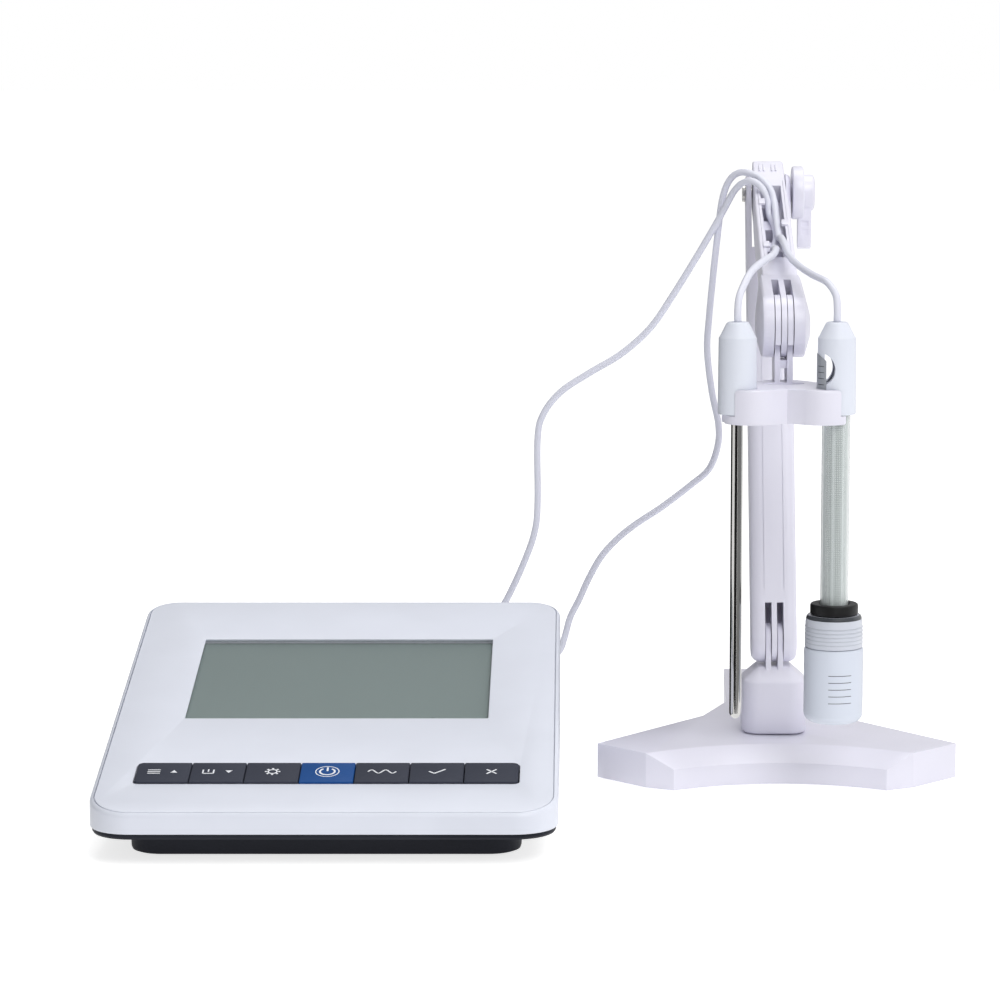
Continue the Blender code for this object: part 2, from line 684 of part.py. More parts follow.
def holder():
    def ring(inset_scale, z):
        return [(x * inset_scale, (y + 45 * MM) * inset_scale - 45 * MM - WRIST[0], z - WRIST[1])
                for x, y in holder_outline()]

    body = solid(
        "electrode_holder",
        loft([ring(0.985, HOLDER_BOTTOM_Z), ring(1, HOLDER_BOTTOM_Z + 0.8 * MM),
              ring(1, HOLDER_TOP_Z - 1.1 * MM), ring(0.97, HOLDER_TOP_Z)]),
        "stand_plastic",
        HOLDER,
    )
    plate = in_frame(lug_outline(WRIST, -24 * MM, HOLDER_TOP_Z - 4 * MM, 13.4 * MM, 10 * MM), WRIST)
    for side in (-1, 1):
        low, high = sorted((side * LUG_INNER, side * LUG_OUTER))
        join(body, sideways(plate, low, high), parent=HOLDER)
    web_z = 189.8 * MM - WRIST[1]
    web = box((-2 * MM, -7 * MM, web_z - 1.8 * MM), (2 * MM, 5 * MM, web_z + 1.8 * MM))
    join(body, web, parent=HOLDER)
    for side in (-1, 1):
        x, y = side * PROBE_OFFSET, PROBE_Y - WRIST[0]
        ledge = CAP_BOTTOM_Z - GAP - WRIST[1]
        cut(body, rod(CAP_RADIUS + GAP, ledge, ledge + 30 * MM, (x, y, 0), segments=24), parent=HOLDER)
        tube = (TUBE_RADIUS if side > 0 else 2.6 * MM) + 0.4 * MM
        cut(body, rod(tube, ledge - 20 * MM, ledge + 30 * MM, (x, y, 0)), parent=HOLDER)
        near, far = sorted((x, x + side * 20 * MM))
        for half, low in ((CAP_RADIUS - 1.2 * MM, ledge), (tube, ledge - 20 * MM)):
            cut(body, box((near, y - half, low), (far, y + half, ledge + 30 * MM)), parent=HOLDER)
    dish = turned(in_mm([(0, -9), (7.4, -9), (8.4, 9), (0, 9)]), (0, 0, 0))
    place = Matrix.Translation((0, -37 * MM - WRIST[0], HOLDER_TOP_Z - WRIST[1] + 7.6 * MM))
    bmesh.ops.transform(dish, matrix=place @ Matrix.Diagonal((1.2, 0.62, 1, 1)), verts=dish.verts)
    cut(body, dish, parent=HOLDER)
    cut(body, rod(2.3 * MM, -20 * MM, 20 * MM, (0, 0, 0), "X"), parent=HOLDER)


holder()


# ---------------------------------------------------------------- temperature probe

TEMP = frame("temperature_probe_frame", (STAND_X - PROBE_OFFSET, PROBE_Y, 0))
ELECTRODE = frame("electrode_frame", (STAND_X + PROBE_OFFSET, PROBE_Y, 0))


def cap_profile(bore, bore_top):
    cone = CAP_TOP_Z - 6.4 * MM
    return [
        (0, bore_top), (bore, bore_top), (bore, CAP_BOTTOM_Z), (CAP_RADIUS - 0.3 * MM, CAP_BOTTOM_Z),
        (CAP_RADIUS, CAP_BOTTOM_Z + 0.6 * MM), (CAP_RADIUS, cone), (CAP_RADIUS - 0.6 * MM, cone + 0.5 * MM),
        (4.8 * MM, CAP_TOP_Z - 0.5 * MM), (4.3 * MM, CAP_TOP_Z), (0, CAP_TOP_Z),
    ]


def dome(radius, middle, angles):
    """Profile points on a ball, from straight below its middle upwards."""
    turns = [math.radians(a) for a in angles]
    return [(radius * math.sin(a), middle - radius * math.cos(a)) for a in turns]


def on_axis(name, profile, mat, parent):
    """A piece turned about its own body's upright axis."""
    return solid(name, turned(profile, (0, 0, 0), segments=24), mat, parent)


def temperature_probe():
    bore_top = CAP_TOP_Z - 12 * MM
    on_axis("temperature_cap", cap_profile(2.9 * MM, bore_top), "white_plastic", TEMP)
    tip, radius = 38 * MM, 2.6 * MM
    nose = dome(radius, tip + radius, (0, 30, 60, 90))
    tube = turned(nose + [(radius, bore_top - GAP), (0, bore_top - GAP)], (0, 0, 0))
    solid("temperature_tube", tube, "steel", TEMP)


temperature_probe()


# ---------------------------------------------------------------- pH electrode

def ph_electrode():
    bore_top = CAP_TOP_Z - 10 * MM
    cap = on_axis("electrode_cap", cap_profile(TUBE_RADIUS + GAP, bore_top), "white_plastic", ELECTRODE)
    notch_x, notch_z, notch_radius = -8.4 * MM, 190.5 * MM, 7.2 * MM
    window = arc(notch_x, notch_z, notch_radius, -67, 67, 12)
    cut(cap, loft([[(x, y, z) for x, z in window] for y in (-20 * MM, 20 * MM)]), parent=ELECTRODE)
    tube_top = CAP_BOTTOM_Z + 4 * MM
    tube = pipe(TUBE_RADIUS - 0.9 * MM, TUBE_RADIUS, 48 * MM, tube_top, (0, 0, 0))
    solid("electrode_tube", tube, "clear_plastic", ELECTRODE)
    sleeve = pipe(TUBE_RADIUS - 1.6 * MM, TUBE_RADIUS, tube_top + GAP, bore_top - GAP, (0, 0, 0))
    sleeve = solid("electrode_sleeve", sleeve, "white_plastic", ELECTRODE)
    notch = rod(notch_radius, -20 * MM, 20 * MM, (notch_x, 0, notch_z), "Y", 32)
    cut(sleeve, notch, parent=ELECTRODE)
    stem, stem_bottom, stem_top = 3.4 * MM, 62 * MM, 182.5 * MM
    profile = [(0, stem_bottom), (stem, stem_bottom), (stem, stem_top), (0, stem_top)]
    on_axis("electrode_stem", profile, "glass", ELECTRODE)
    ball = dome(4.4 * MM, 57 * MM, range(0, 181, 20))
    on_axis("glass_bulb", [(r, min(z, 61.6 * MM)) for r, z in ball], "glass", ELECTRODE)


def storage_bottle():
    bore = TUBE_RADIUS / MM + 0.3
    seal = [(bore, 82.6), (9.4, 82.6), (9.4, 84.2), (10.35, 84.6), (10.35, 88.2), (9.8, 88.8), (bore, 88.8)]
    on_axis("bottle_seal", in_mm(seal), "rubber", ELECTRODE)
    cap = [
        (10.3, 70), (12.5, 70), (12.3, 81), (11.4, 83.6), (9.8, 83.9), (9.8, 82.3),
        (bore, 82.3), (bore, 80.4), (10.3, 80.4),
    ]
    on_axis("bottle_cap", in_mm(cap), "frosted_plastic", ELECTRODE)
    outer, low, shoulder, curve = 12.8, 37, 69.7, 4.2
    heel = [(outer - curve + r, z) for r, z in dome(curve, low + curve, (0, 22.5, 45, 67.5, 90))]
    bottle = [(0, low)] + heel + [
        (outer, shoulder - 1), (outer - 0.6, shoulder), (10, shoulder), (10, 80.1), (8.8, 80.1), (8.8, 68),
        (outer - 1.4, 65.5), (outer - 1.4, low + 4.2), (outer - 4.2, low + 1.5), (0, low + 1.5),
    ]
    on_axis("storage_bottle", in_mm(bottle), "frosted_plastic", ELECTRODE)


ph_electrode()
storage_bottle()


# ---------------------------------------------------------------- plugs and leads

def plugs():
    """Round plugs pushed onto their sockets, each with a tapered boot behind it."""
    wall_piece(
        "ph_plug",
        [(0, 9.4), (5.1, 9.4), (5.1, 1.2), (6.8, 1.2), (7.2, 1.7), (7.2, 25.4), (6.4, 26), (3.2, 26),
         (2.3, 42), (0, 42)],
        PH_SOCKET_X, "steel",
    )
    wall_piece(
        "temperature_plug",
        [(0, -8.5), (1.5, -8.5), (1.5, 1.5), (4.6, 1.5), (5, 2), (5, 18), (3.2, 18.6), (2.3, 34), (0, 34)],
        TEMP_SOCKET_X, "dark_plastic",
    )


plugs()


def smooth_route(points, spacing):
    """Evenly spaced points on a smooth curve through the given ones."""
    knots = [Vector(p) for p in points]
    knots = [2 * knots[0] - knots[1]] + knots + [2 * knots[-1] - knots[-2]]
    fine = []
    for a, b, c, d in zip(knots, knots[1:], knots[2:], knots[3:]):
        for step in range(20):
            t = step / 20
            bend, twist = 2 * a - 5 * b + 4 * c - d, 3 * b - a - 3 * c + d
            fine.append(0.5 * (2 * b + (c - a) * t + bend * t**2 + twist * t**3))
    fine.append(knots[-2])
    travelled = [0.0]
    for a, b in zip(fine, fine[1:]):
        travelled.append(travelled[-1] + (b - a).length)
    count = round(travelled[-1] / spacing)
    even, here = [], 0
    for step in range(count + 1):
        goal = travelled[-1] * step / count
        while here < len(fine) - 2 and travelled[here + 1] < goal:
            here += 1
        span = travelled[here + 1] - travelled[here]
        even.append(fine[here].lerp(fine[here + 1], (goal - travelled[here]) / span))
    return even


# Each lead runs from its cap over the arm, down behind the meter and into its plug (millimetres)
PH_ROUTE = [
    (124.6, -56, 210.7), (124.6, -56, 216), (124.0, -54, 221.8), (120.8, -47.5, 226.6), (115.4, -36, 229),
    (110.8, -20, 231.6), (107.4, -2, 235), (105.9, 14, 239.8), (105.4, 25, 241.2), (105.1, 37, 241),
    (105.0, 54.6, 247.7), (105.0, 70, 254.6), (103.4, 75.5, 260.4), (100.6, 79.5, 264), (97.4, 83, 266.4),
    (93.3, 86.2, 267.9), (89.2, 89.4, 267.7), (85.6, 92.4, 264.8), (83.0, 94.6, 259.2), (81.4, 95.8, 251.8),
    (80.4, 96, 243), (78.1, 96.2, 221.4), (76.1, 97.4, 198.6), (75.4, 98.6, 183.3), (77.8, 99.8, 163.6),
    (81.0, 101, 148.2), (80.8, 102.2, 137.5), (76.7, 103.4, 126.2), (68.2, 104.6, 118.4), (54.4, 105.8, 107.6),
    (42.2, 107, 99.3), (33.7, 108.2, 92.3), (25.7, 109.4, 83.4), (19.6, 110.6, 72.6), (14.6, 111.8, 61.3),
    (10.4, 113, 52.6), (7.8, 114.2, 43), (5.4, 116, 36), (0.8, 118, 31.5), (-5.2, 118, 30),
    (-10.8, 114.6, 32), (-14.2, 108.2, 35.6), (-15, 100.5, 37.7), (-15, 91.3, 38),
]
TEMPERATURE_ROUTE = [
    (82.2, -56, 210.7), (82.2, -56, 216), (83.2, -53.2, 221.8), (87.2, -43, 229), (94.0, -24, 233.6),
    (100.0, -3, 235.4), (102.4, 13, 237), (102.2, 26, 236.2), (103.4, 38, 237.2), (104.6, 47, 240.6),
    (104.2, 58, 245.2), (102.6, 66.6, 249.4), (101.8, 71.0, 255.2), (99.4, 73.2, 261.2), (95.0, 76.2, 264.4),
    (90.4, 80.4, 263.2), (86.8, 84.6, 259.2), (83.9, 88.6, 253.4), (80.4, 91.8, 246.4), (70.5, 94.8, 228.9),
    (58.6, 97.2, 209.2), (48.2, 98.8, 194), (34.6, 100.4, 181.7), (19.4, 102, 172.4), (5.9, 103.6, 163.2),
    (-2.5, 105.2, 152.2), (-5.2, 106.8, 139.8), (-5.2, 108.4, 110.6), (-6.5, 110, 95.8), (-11.4, 111.6, 80.9),
    (-19.9, 113.2, 62.1), (-26, 113.8, 52.6), (-31.4, 111.4, 45.2), (-35.4, 105.4, 40.6), (-36.9, 98, 38.6),
    (-37, 90.4, 38), (-37, 83.3, 38),
]


def lead(name, route):
    curve = bpy.data.curves.new(name, "CURVE")
    curve.dimensions = "3D"
    curve.bevel_depth = CORD_RADIUS
    curve.bevel_resolution = 2
    curve.use_fill_caps = True
    points = smooth_route([[c * MM for c in p] for p in route], 6.6 * MM)
    spline = curve.splines.new("POLY")
    spline.points.add(len(points) - 1)
    for point, place in zip(spline.points, points):
        point.co = (*place, 1.0)
    curve.materials.append(MATERIALS["cord_jacket"])
    bpy.context.collection.objects.link(bpy.data.objects.new(name, curve))


lead("ph_lead", PH_ROUTE)
lead("temperature_lead", TEMPERATURE_ROUTE)
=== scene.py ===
"""The looks of a bench pH meter and its electrode stand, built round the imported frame."""

import math

import bmesh
import bpy
from mathutils import Matrix, Vector


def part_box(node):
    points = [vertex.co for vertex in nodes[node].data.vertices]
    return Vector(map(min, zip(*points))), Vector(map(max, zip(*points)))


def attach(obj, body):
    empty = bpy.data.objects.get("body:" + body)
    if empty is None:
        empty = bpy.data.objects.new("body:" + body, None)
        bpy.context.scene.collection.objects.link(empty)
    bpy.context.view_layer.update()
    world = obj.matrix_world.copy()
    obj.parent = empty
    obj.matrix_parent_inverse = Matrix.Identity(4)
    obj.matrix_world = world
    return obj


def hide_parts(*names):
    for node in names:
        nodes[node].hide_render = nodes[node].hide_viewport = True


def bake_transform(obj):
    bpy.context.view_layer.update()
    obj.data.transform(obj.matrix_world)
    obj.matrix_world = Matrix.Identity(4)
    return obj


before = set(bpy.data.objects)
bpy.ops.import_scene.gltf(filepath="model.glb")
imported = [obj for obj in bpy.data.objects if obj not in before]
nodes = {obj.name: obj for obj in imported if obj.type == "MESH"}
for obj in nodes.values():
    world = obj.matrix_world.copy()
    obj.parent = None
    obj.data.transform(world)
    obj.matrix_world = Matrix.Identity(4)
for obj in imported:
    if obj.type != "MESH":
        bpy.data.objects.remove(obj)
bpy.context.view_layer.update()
scene = bpy.context.scene
MM = 0.001

# ---------------------------------------------------------------- camera, floor and light
# A long lens on a tripod, a little above the stand and tipped down eight degrees, as a
# catalogue table-top is taken. A white sweep lies under and behind, lit by two large soft panels and
# a pale room that darkens to the left. Three upright cards stand close by for polished metal to reflect.


def placed(name, data, place=(0, 0, 0)):
    """An object made from its data and put in the scene."""
    thing = bpy.data.objects.new(name, data)
    thing.location = place
    scene.collection.objects.link(thing)
    return thing


def fill(node, **values):
    """Set a node's inputs by name. Three numbers are a vector, or a colour without its alpha."""
    for title, value in values.items():
        socket = node.inputs[title.replace("_", " ")]
        socket.default_value = (*value, 1)[:len(socket.default_value)] if isinstance(value, tuple) else value
    return node


def wires(tree, *sockets):
    """Join each output socket to the input socket named after it."""
    for start, end in zip(sockets[::2], sockets[1::2]):
        tree.links.new(start, end)


def new_paint(name, **values):
    """A material and its shader, whose inputs are set by name."""
    material = bpy.data.materials.new(name)
    material.use_nodes = True
    return material, fill(material.node_tree.nodes["Principled BSDF"], **values)


def for_camera(tree, socket, others, camera):
    """Send one value to the rays from the camera and another to all the rest."""
    path, split = tree.nodes.new("ShaderNodeLightPath"), tree.nodes.new("ShaderNodeMapRange")
    fill(split, To_Min=others, To_Max=camera)
    wires(tree, path.outputs["Is Camera Ray"], split.inputs["Value"], split.outputs["Result"], socket)
    return split


def flat_card(name, corners, paint):
    mesh = bpy.data.meshes.new(name)
    mesh.from_pydata(corners, [], [(0, 1, 2, 3)])
    mesh.materials.append(paint)
    return placed(name, mesh)


def soft_panel(name, place, target, width, height, power):
    light = placed(name, bpy.data.lights.new(name, "AREA"), place)
    light.data.shape, light.data.energy = "RECTANGLE", power
    light.data.size, light.data.size_y = width, height
    light.rotation_euler = (Vector(target) - Vector(place)).to_track_quat("-Z", "Y").to_euler()


def dark_flag(name, start, end, tone):
    """An upright card that only glossy rays meet, so that polished surfaces show crisp dark bands."""
    paint, _ = new_paint(name, Base_Color=(tone, tone, tone), Roughness=1.0)
    card = flat_card(name, [(*start, 0), (*end, 0), (*end, 0.4), (*start, 0.4)], paint)
    card.visible_camera = card.visible_diffuse = card.visible_shadow = card.visible_transmission = False
    return card


camera = placed("camera", bpy.data.cameras.new("camera"), (0.0132, -1.460, 0.331))
camera.rotation_euler = (math.radians(82), 0, 0)
camera.data.lens, camera.data.sensor_width = 118.8, 36
camera.data.shift_x, camera.data.clip_end = -0.076, 20
scene.camera = camera
scene.view_settings.view_transform = "Standard"

floor_paint, floor_shader = new_paint("floor_white", Base_Color=(0.72, 0.72, 0.72), Roughness=0.9,
                                      Specular_IOR_Level=0.1, Emission_Color=(1, 1, 1))
for_camera(floor_paint.node_tree, floor_shader.inputs["Emission Strength"], 0.42, 0.74)
floor = flat_card("floor", [(-40, -40, 0), (40, -40, 0), (40, 40, 0), (-40, 40, 0)], floor_paint)

world = bpy.data.worlds.new("studio")
world.use_nodes = True
sky = world.node_tree
background = fill(sky.nodes["Background"], Color=(1, 1, 1))
wash = for_camera(sky, background.inputs["Strength"], 0.46, 1.0)
direction, axes = sky.nodes.new("ShaderNodeTexCoord"), sky.nodes.new("ShaderNodeSeparateXYZ")
side_fall = fill(sky.nodes.new("ShaderNodeMapRange"), From_Min=-1.0, To_Min=0.10, To_Max=0.82)
wires(sky, direction.outputs["Generated"], axes.inputs[0], axes.outputs["X"], side_fall.inputs["Value"],
      side_fall.outputs["Result"], wash.inputs["To Min"])
scene.world = world
soft_panel("key_panel", (0.55, -1.25, 1.35), (0.02, 0, 0.08), 0.9, 0.9, 12.8)
soft_panel("top_panel", (0.1, 0.35, 1.7), (0.0, 0, 0.05), 1.2, 0.8, 10.3)
dark_flag("front_flag", (-0.043, -0.19), (0.103, -0.19), 0.004)
dark_flag("left_flag", (0.02, -0.05), (0.06, 0.25), 0.004)
dark_flag("right_flag", (0.112, -0.19), (0.40, -0.07), 0.30)

# ---------------------------------------------------------------- leads
# Two soft white jacketed leads, 3.2 mm thick. Each leaves its cap, lies in the arm's trough, drops
# over the elbow and hangs down behind the meter to its plug. Each is cut into six stretches.

LEAD_RADIUS = 1.6 * MM


def smooth_through(points, steps=8):
    """A smooth curve through the given points, in metres."""
    knots = [Vector(p) * MM for p in points]
    knots = [2 * knots[0] - knots[1]] + knots + [2 * knots[-1] - knots[-2]]
    fine = []
    for a, b, c, d in zip(knots, knots[1:], knots[2:], knots[3:]):
        for step in range(steps):
            t = step / steps
            bend, twist = 2 * a - 5 * b + 4 * c - d, 3 * b - a - 3 * c + d
            fine.append(0.5 * (2 * b + (c - a) * t + bend * t**2 + twist * t**3))
    return fine + [knots[-2]]


def tube_along(path, radius, sides=20):
    """A closed round tube whose rings turn with the path without twisting."""
    bm = bmesh.new()
    side = (path[1] - path[0]).orthogonal().normalized()
    rows = []
    for i, place in enumerate(path):
        ahead = (path[min(i + 1, len(path) - 1)] - path[max(i - 1, 0)]).normalized()
        side = (side - ahead * side.dot(ahead)).normalized()
        up = ahead.cross(side)
        turn = [2 * math.pi * k / sides for k in range(sides)]
        rows.append([bm.verts.new(place + (side * math.cos(a) + up * math.sin(a)) * radius) for a in turn])
    for low, high in zip(rows, rows[1:]):
        for k in range(sides):
            j = (k + 1) % sides
            bm.faces.new((low[k], low[j], high[j], high[k]))
    bm.faces.new(list(reversed(rows[0])))
    bm.faces.new(rows[-1])
    return bm


def into_piece(name, bm, material, smooth=30):
    """Turn a bmesh in the frame's own metres into an object standing at the origin."""
    bmesh.ops.remove_doubles(bm, verts=bm.verts, dist=1e-7)
    bmesh.ops.recalc_face_normals(bm, faces=bm.faces)
    mesh = bpy.data.meshes.new(name)
    bm.to_mesh(mesh)
    bm.free()
    mesh.shade_smooth()
    mesh.set_sharp_from_angle(angle=math.radians(smooth))
    mesh.materials.append(material)
    return placed(name, mesh)


def maths(tree, operation, *terms):
    """The result of a math node over sockets and plain numbers."""
    node = tree.nodes.new("ShaderNodeMath")
    node.operation = operation
    for socket, term in zip(node.inputs, terms):
        if isinstance(term, float):
            socket.default_value = term
        else:
            tree.links.new(term, socket)
    return node.outputs[0]


def surface_group(name, patches):
    """A node group that varies a colour and a roughness over the surface and raises a fine grain."""
    group = bpy.data.node_groups.new(name, "ShaderNodeTree")
    for way, kind, titles in (("INPUT", "Color", ["Color"]),
                              ("INPUT", "Float", ["Roughness", "Grain Scale", "Relief", "Mottle"]),
                              ("OUTPUT", "Color", ["Color"]), ("OUTPUT", "Float", ["Roughness"]),
                              ("OUTPUT", "Vector", ["Normal"])):
        for title in titles:
            group.interface.new_socket(title, in_out=way, socket_type=f"NodeSocket{kind}")
    given, out, place, cloud, tint, grain, bump = (group.nodes.new(kind) for kind in (
        "NodeGroupInput", "NodeGroupOutput", "ShaderNodeTexCoord", "ShaderNodeTexNoise",
        "ShaderNodeVectorMath", "ShaderNodeTexNoise", "ShaderNodeBump"))
    fill(cloud, Scale=patches, Detail=3)
    fill(grain, Detail=2)
    fill(bump, Distance=0.0002)
    tint.operation = "SCALE"
    shift = maths(group, "SUBTRACT", cloud.outputs["Fac"], 0.5)
    amount = maths(group, "MULTIPLY_ADD", shift, given.outputs["Mottle"], 1.0)
    rough = maths(group, "MULTIPLY", given.outputs["Roughness"], amount)
    wires(group, place.outputs["Object"], cloud.inputs["Vector"],
          place.outputs["Object"], grain.inputs["Vector"],
          given.outputs["Color"], tint.inputs[0], amount, tint.inputs["Scale"],
          given.outputs["Grain Scale"], grain.inputs["Scale"],
          given.outputs["Relief"], bump.inputs["Strength"], grain.outputs["Fac"], bump.inputs["Height"],
          tint.outputs[0], out.inputs["Color"], rough, out.inputs["Roughness"],
          bump.outputs["Normal"], out.inputs["Normal"])
    return group


MOULDED = surface_group("moulded_surface", 28)


def moulded(name, color, roughness, grain=1600, relief=0.12, mottle=0.10, coat=0.0, metallic=0.0, shine=0.5):
    """Injection-moulded plastic, or another plain finish, with a fine grain."""
    material, shader = new_paint(name, Coat_Weight=coat, Coat_Roughness=0.25, Metallic=metallic,
                                 Specular_IOR_Level=shine)
    skin = material.node_tree.nodes.new("ShaderNodeGroup")
    skin.node_tree = MOULDED
    fill(skin, Color=color, Roughness=roughness, Grain_Scale=grain, Relief=relief, Mottle=mottle)
    wires(material.node_tree, skin.outputs["Color"], shader.inputs["Base Color"], skin.outputs["Roughness"],
          shader.inputs["Roughness"], skin.outputs["Normal"], shader.inputs["Normal"])
    return material


LEAD_JACKET = moulded("lead_jacket", (0.74, 0.75, 0.845), 0.42, grain=2600, relief=0.03)

PH_ROUTE = [
    (124.6, -56, 210.7), (124.6, -56, 216), (124.0, -54, 221.8), (120.8, -47.5, 226.6), (115.4, -36, 229),
    (110.8, -20, 231.6), (107.4, -2, 235), (105.9, 14, 239.8), (105.4, 25, 241.2), (105.1, 37, 241),
    (105.0, 54.6, 247.7), (105.0, 70, 254.6), (103.4, 75.5, 260.4), (100.6, 79.5, 264), (97.4, 83, 266.4),
    (93.3, 86.2, 267.9), (89.2, 89.4, 267.7), (85.6, 92.4, 264.8), (83.0, 94.6, 259.2), (81.4, 95.8, 251.8),
    (80.4, 96, 243), (78.1, 96.2, 221.4), (76.1, 97.4, 198.6), (75.4, 98.6, 183.3), (77.8, 99.8, 163.6),
    (81.0, 101, 148.2), (80.8, 102.2, 137.5), (76.7, 103.4, 126.2), (68.2, 104.6, 118.4),
    (54.4, 105.8, 107.6),
    (42.2, 107, 99.3), (33.7, 108.2, 92.3), (25.7, 109.4, 83.4), (19.6, 110.6, 72.6), (14.6, 111.8, 61.3),
    (10.4, 113, 52.6), (7.8, 114.2, 43), (5.4, 116, 36), (0.8, 118, 31.5), (-5.2, 118, 30),
    (-10.8, 114.6, 32), (-14.2, 108.2, 35.6), (-15, 100.5, 37.7), (-15, 91.3, 38),
]
TEMPERATURE_ROUTE = [
    (82.2, -56, 210.7), (82.2, -56, 216), (83.2, -53.2, 221.8), (87.2, -43, 229), (90.6, -33.6, 231.9),
    (94.0, -24, 233.6),
    (100.0, -3, 235.4), (102.4, 13, 237), (102.2, 26, 236.2), (103.4, 38, 237.2), (104.6, 47, 240.6),
    (104.2, 58, 245.2), (102.6, 66.6, 249.4), (101.8, 71.0, 255.2), (99.4, 73.2, 261.2), (95.0, 76.2, 264.4),
    (90.4, 80.4, 263.2), (86.8, 84.6, 259.2), (83.9, 88.6, 253.4), (80.4, 91.8, 246.4), (70.5, 94.8, 228.9),
    (58.6, 97.2, 209.2), (48.2, 98.8, 194), (34.6, 100.4, 181.7), (19.4, 102, 172.4), (5.9, 103.6, 163.2),
    (-2.5, 105.2, 152.2), (-5.2, 106.8, 139.8), (-5.2, 108.4, 110.6), (-6.5, 110, 95.8), (-11.4, 111.6, 80.9),
    (-19.9, 113.2, 62.1), (-26, 113.8, 52.6), (-31.4, 111.4, 45.2), (-35.4, 105.4, 40.6), (-36.9, 98, 38.6),
    (-37, 90.4, 38), (-37, 83.3, 38),
]


BREAKS = [4, 6, 12, 19, 25]


def lay_lead(name, route, probe):
    """One lead, cut into stretches at five of its route points. A stretch within one body goes with it; one that
    spans two bodies stays where it lies.
    """
    steps = 8
    fine = smooth_through(route, steps)
    chain = [probe, "holder", "upper_arm", "lower_arm", "turret", "desk_units"]
    holds = list(zip(chain, chain[1:]))
    holds.insert(2, ("upper_arm",))
    cuts = [0] + BREAKS + [len(route) - 1]
    for number, (first, last, held) in enumerate(zip(cuts, cuts[1:], holds), 1):
        path = fine[first * steps:last * steps + 1]
        piece = into_piece(f"{name}_{number}", tube_along(path, LEAD_RADIUS), LEAD_JACKET, 50)
        if len(held) == 2:
            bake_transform(piece)
        else:
            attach(piece, held[0])
        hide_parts(name)


lay_lead("ph_lead", PH_ROUTE, "ph_electrode")
lay_lead("temperature_lead", TEMPERATURE_ROUTE, "temperature_probe")

# ---------------------------------------------------------------- meter housing
# A wedge moulded in cool white ABS in two halves. The upper shell has a soft rolled rim round a
# sunken field, with a hairline groove between the two, and stands on a dark plinth.

HOUSING_LOW, HOUSING_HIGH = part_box("upper_shell")
METER_X = (HOUSING_LOW.x + HOUSING_HIGH.x) / 2
FACE_FRONT_Z = 22.6 * MM
FACE_BACK_Z = 71.7 * MM
FRONT_Y, BACK_Y = HOUSING_LOW.y, HOUSING_HIGH.y
SLOPE = math.atan2(FACE_BACK_Z - FACE_FRONT_Z, BACK_Y - FRONT_Y)
FACE_LENGTH = (BACK_Y - FRONT_Y) / math.cos(SLOPE)
ON_FACE = Matrix.Translation((METER_X, FRONT_Y, FACE_FRONT_Z)) @ Matrix.Rotation(SLOPE, 4, "X")
PANEL_HALF, PANEL_EDGE = 93 * MM, 1.7 * MM
DISPLAY = (129.4 * MM, 86 * MM, 135.5 * MM)
KEY_PITCH, KEY_DEPTH, KEY_V = 22.5 * MM, 18.4 * MM, 37.4 * MM
SOCKET_Z = 38 * MM
RIM_RADIUS = 2.2 * MM
SOCKET_X = {"ph": -15 * MM, "temperature": -37 * MM, "power": -128 * MM}


def arc(cx, cy, radius, start, end, steps):
    angles = [math.radians(start + (end - start) * i / steps) for i in range(steps + 1)]
    return [(cx + radius * math.cos(a), cy + radius * math.sin(a)) for a in angles]


def rounded_rect(x0, y0, x1, y1, front, back, steps=12):
    """Outline with one radius at the front corners and another at the back."""
    near = arc(x0 + front, y0 + front, front, 180, 270, steps)
    near += arc(x1 - front, y0 + front, front, 270, 360, steps)
    return near + arc(x1 - back, y1 - back, back, 0, 90, steps) + arc(x0 + back, y1 - back, back, 90, 180, steps)


def loft(rings):
    """A closed skin over rings of points, flat at both ends."""
    bm = bmesh.new()
    rows = [[bm.verts.new(p) for p in ring] for ring in rings]
    for low, high in zip(rows, rows[1:]):
        for i in range(len(low)):
            j = (i + 1) % len(low)
            bm.faces.new((low[i], low[j], high[j], high[i]))
    bm.faces.new(rows[0])
    bm.faces.new(rows[-1])
    bmesh.ops.remove_doubles(bm, verts=bm.verts, dist=1e-6)
    return bm


def shaped(bm, matrix):
    bmesh.ops.transform(bm, matrix=matrix, verts=bm.verts)
    return bm


def upright(outline, low, high):
    return loft([[(x, y, z) for x, y in outline] for z in (low, high)])


def block(low, high):
    (x0, y0, z0), (x1, y1, z1) = low, high
    return upright([(x0, y0), (x1, y0), (x1, y1), (x0, y1)], z0, z1)


def carved(piece, *tools, operation="DIFFERENCE", width=0.0, segments=3, angle=40):
    """Cut or join tools, then roll the edges, and leave a plain mesh at the origin."""
    helpers = []
    for tool in tools:
        helper = into_piece("tool", tool, piece.data.materials[0])
        helpers.append(helper)
        modifier = piece.modifiers.new("shape", "BOOLEAN")
        modifier.operation, modifier.solver, modifier.object = operation, "EXACT", helper
    if width:
        bevel = piece.modifiers.new("edges", "BEVEL")
        bevel.width, bevel.segments = width, segments
        bevel.limit_method, bevel.angle_limit = "ANGLE", math.radians(angle)
    bpy.context.view_layer.update()
    done = bpy.data.meshes.new_from_object(piece.evaluated_get(bpy.context.evaluated_depsgraph_get()))
    name = piece.data.name
    piece.modifiers.clear()
    piece.data = done
    done.name = name
    done.shade_smooth()
    done.set_sharp_from_angle(angle=math.radians(30))
    for helper in helpers:
        bpy.data.objects.remove(helper)
    return piece


def fixed(piece, body, slot, *replaced):
    """Hand a finished piece to its body and let it stand for the CAD nodes it covers."""
    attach(piece, body)
    if replaced:
        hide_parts(*replaced)
    return piece


def face_height(y, below=0.0):
    return FACE_FRONT_Z + (y - FRONT_Y) * math.tan(SLOPE) - below


def housing_outline(inset):
    return rounded_rect(HOUSING_LOW.x + inset, FRONT_Y + inset, HOUSING_HIGH.x - inset, BACK_Y - inset,
                        18 * MM - inset, 14 * MM - inset)


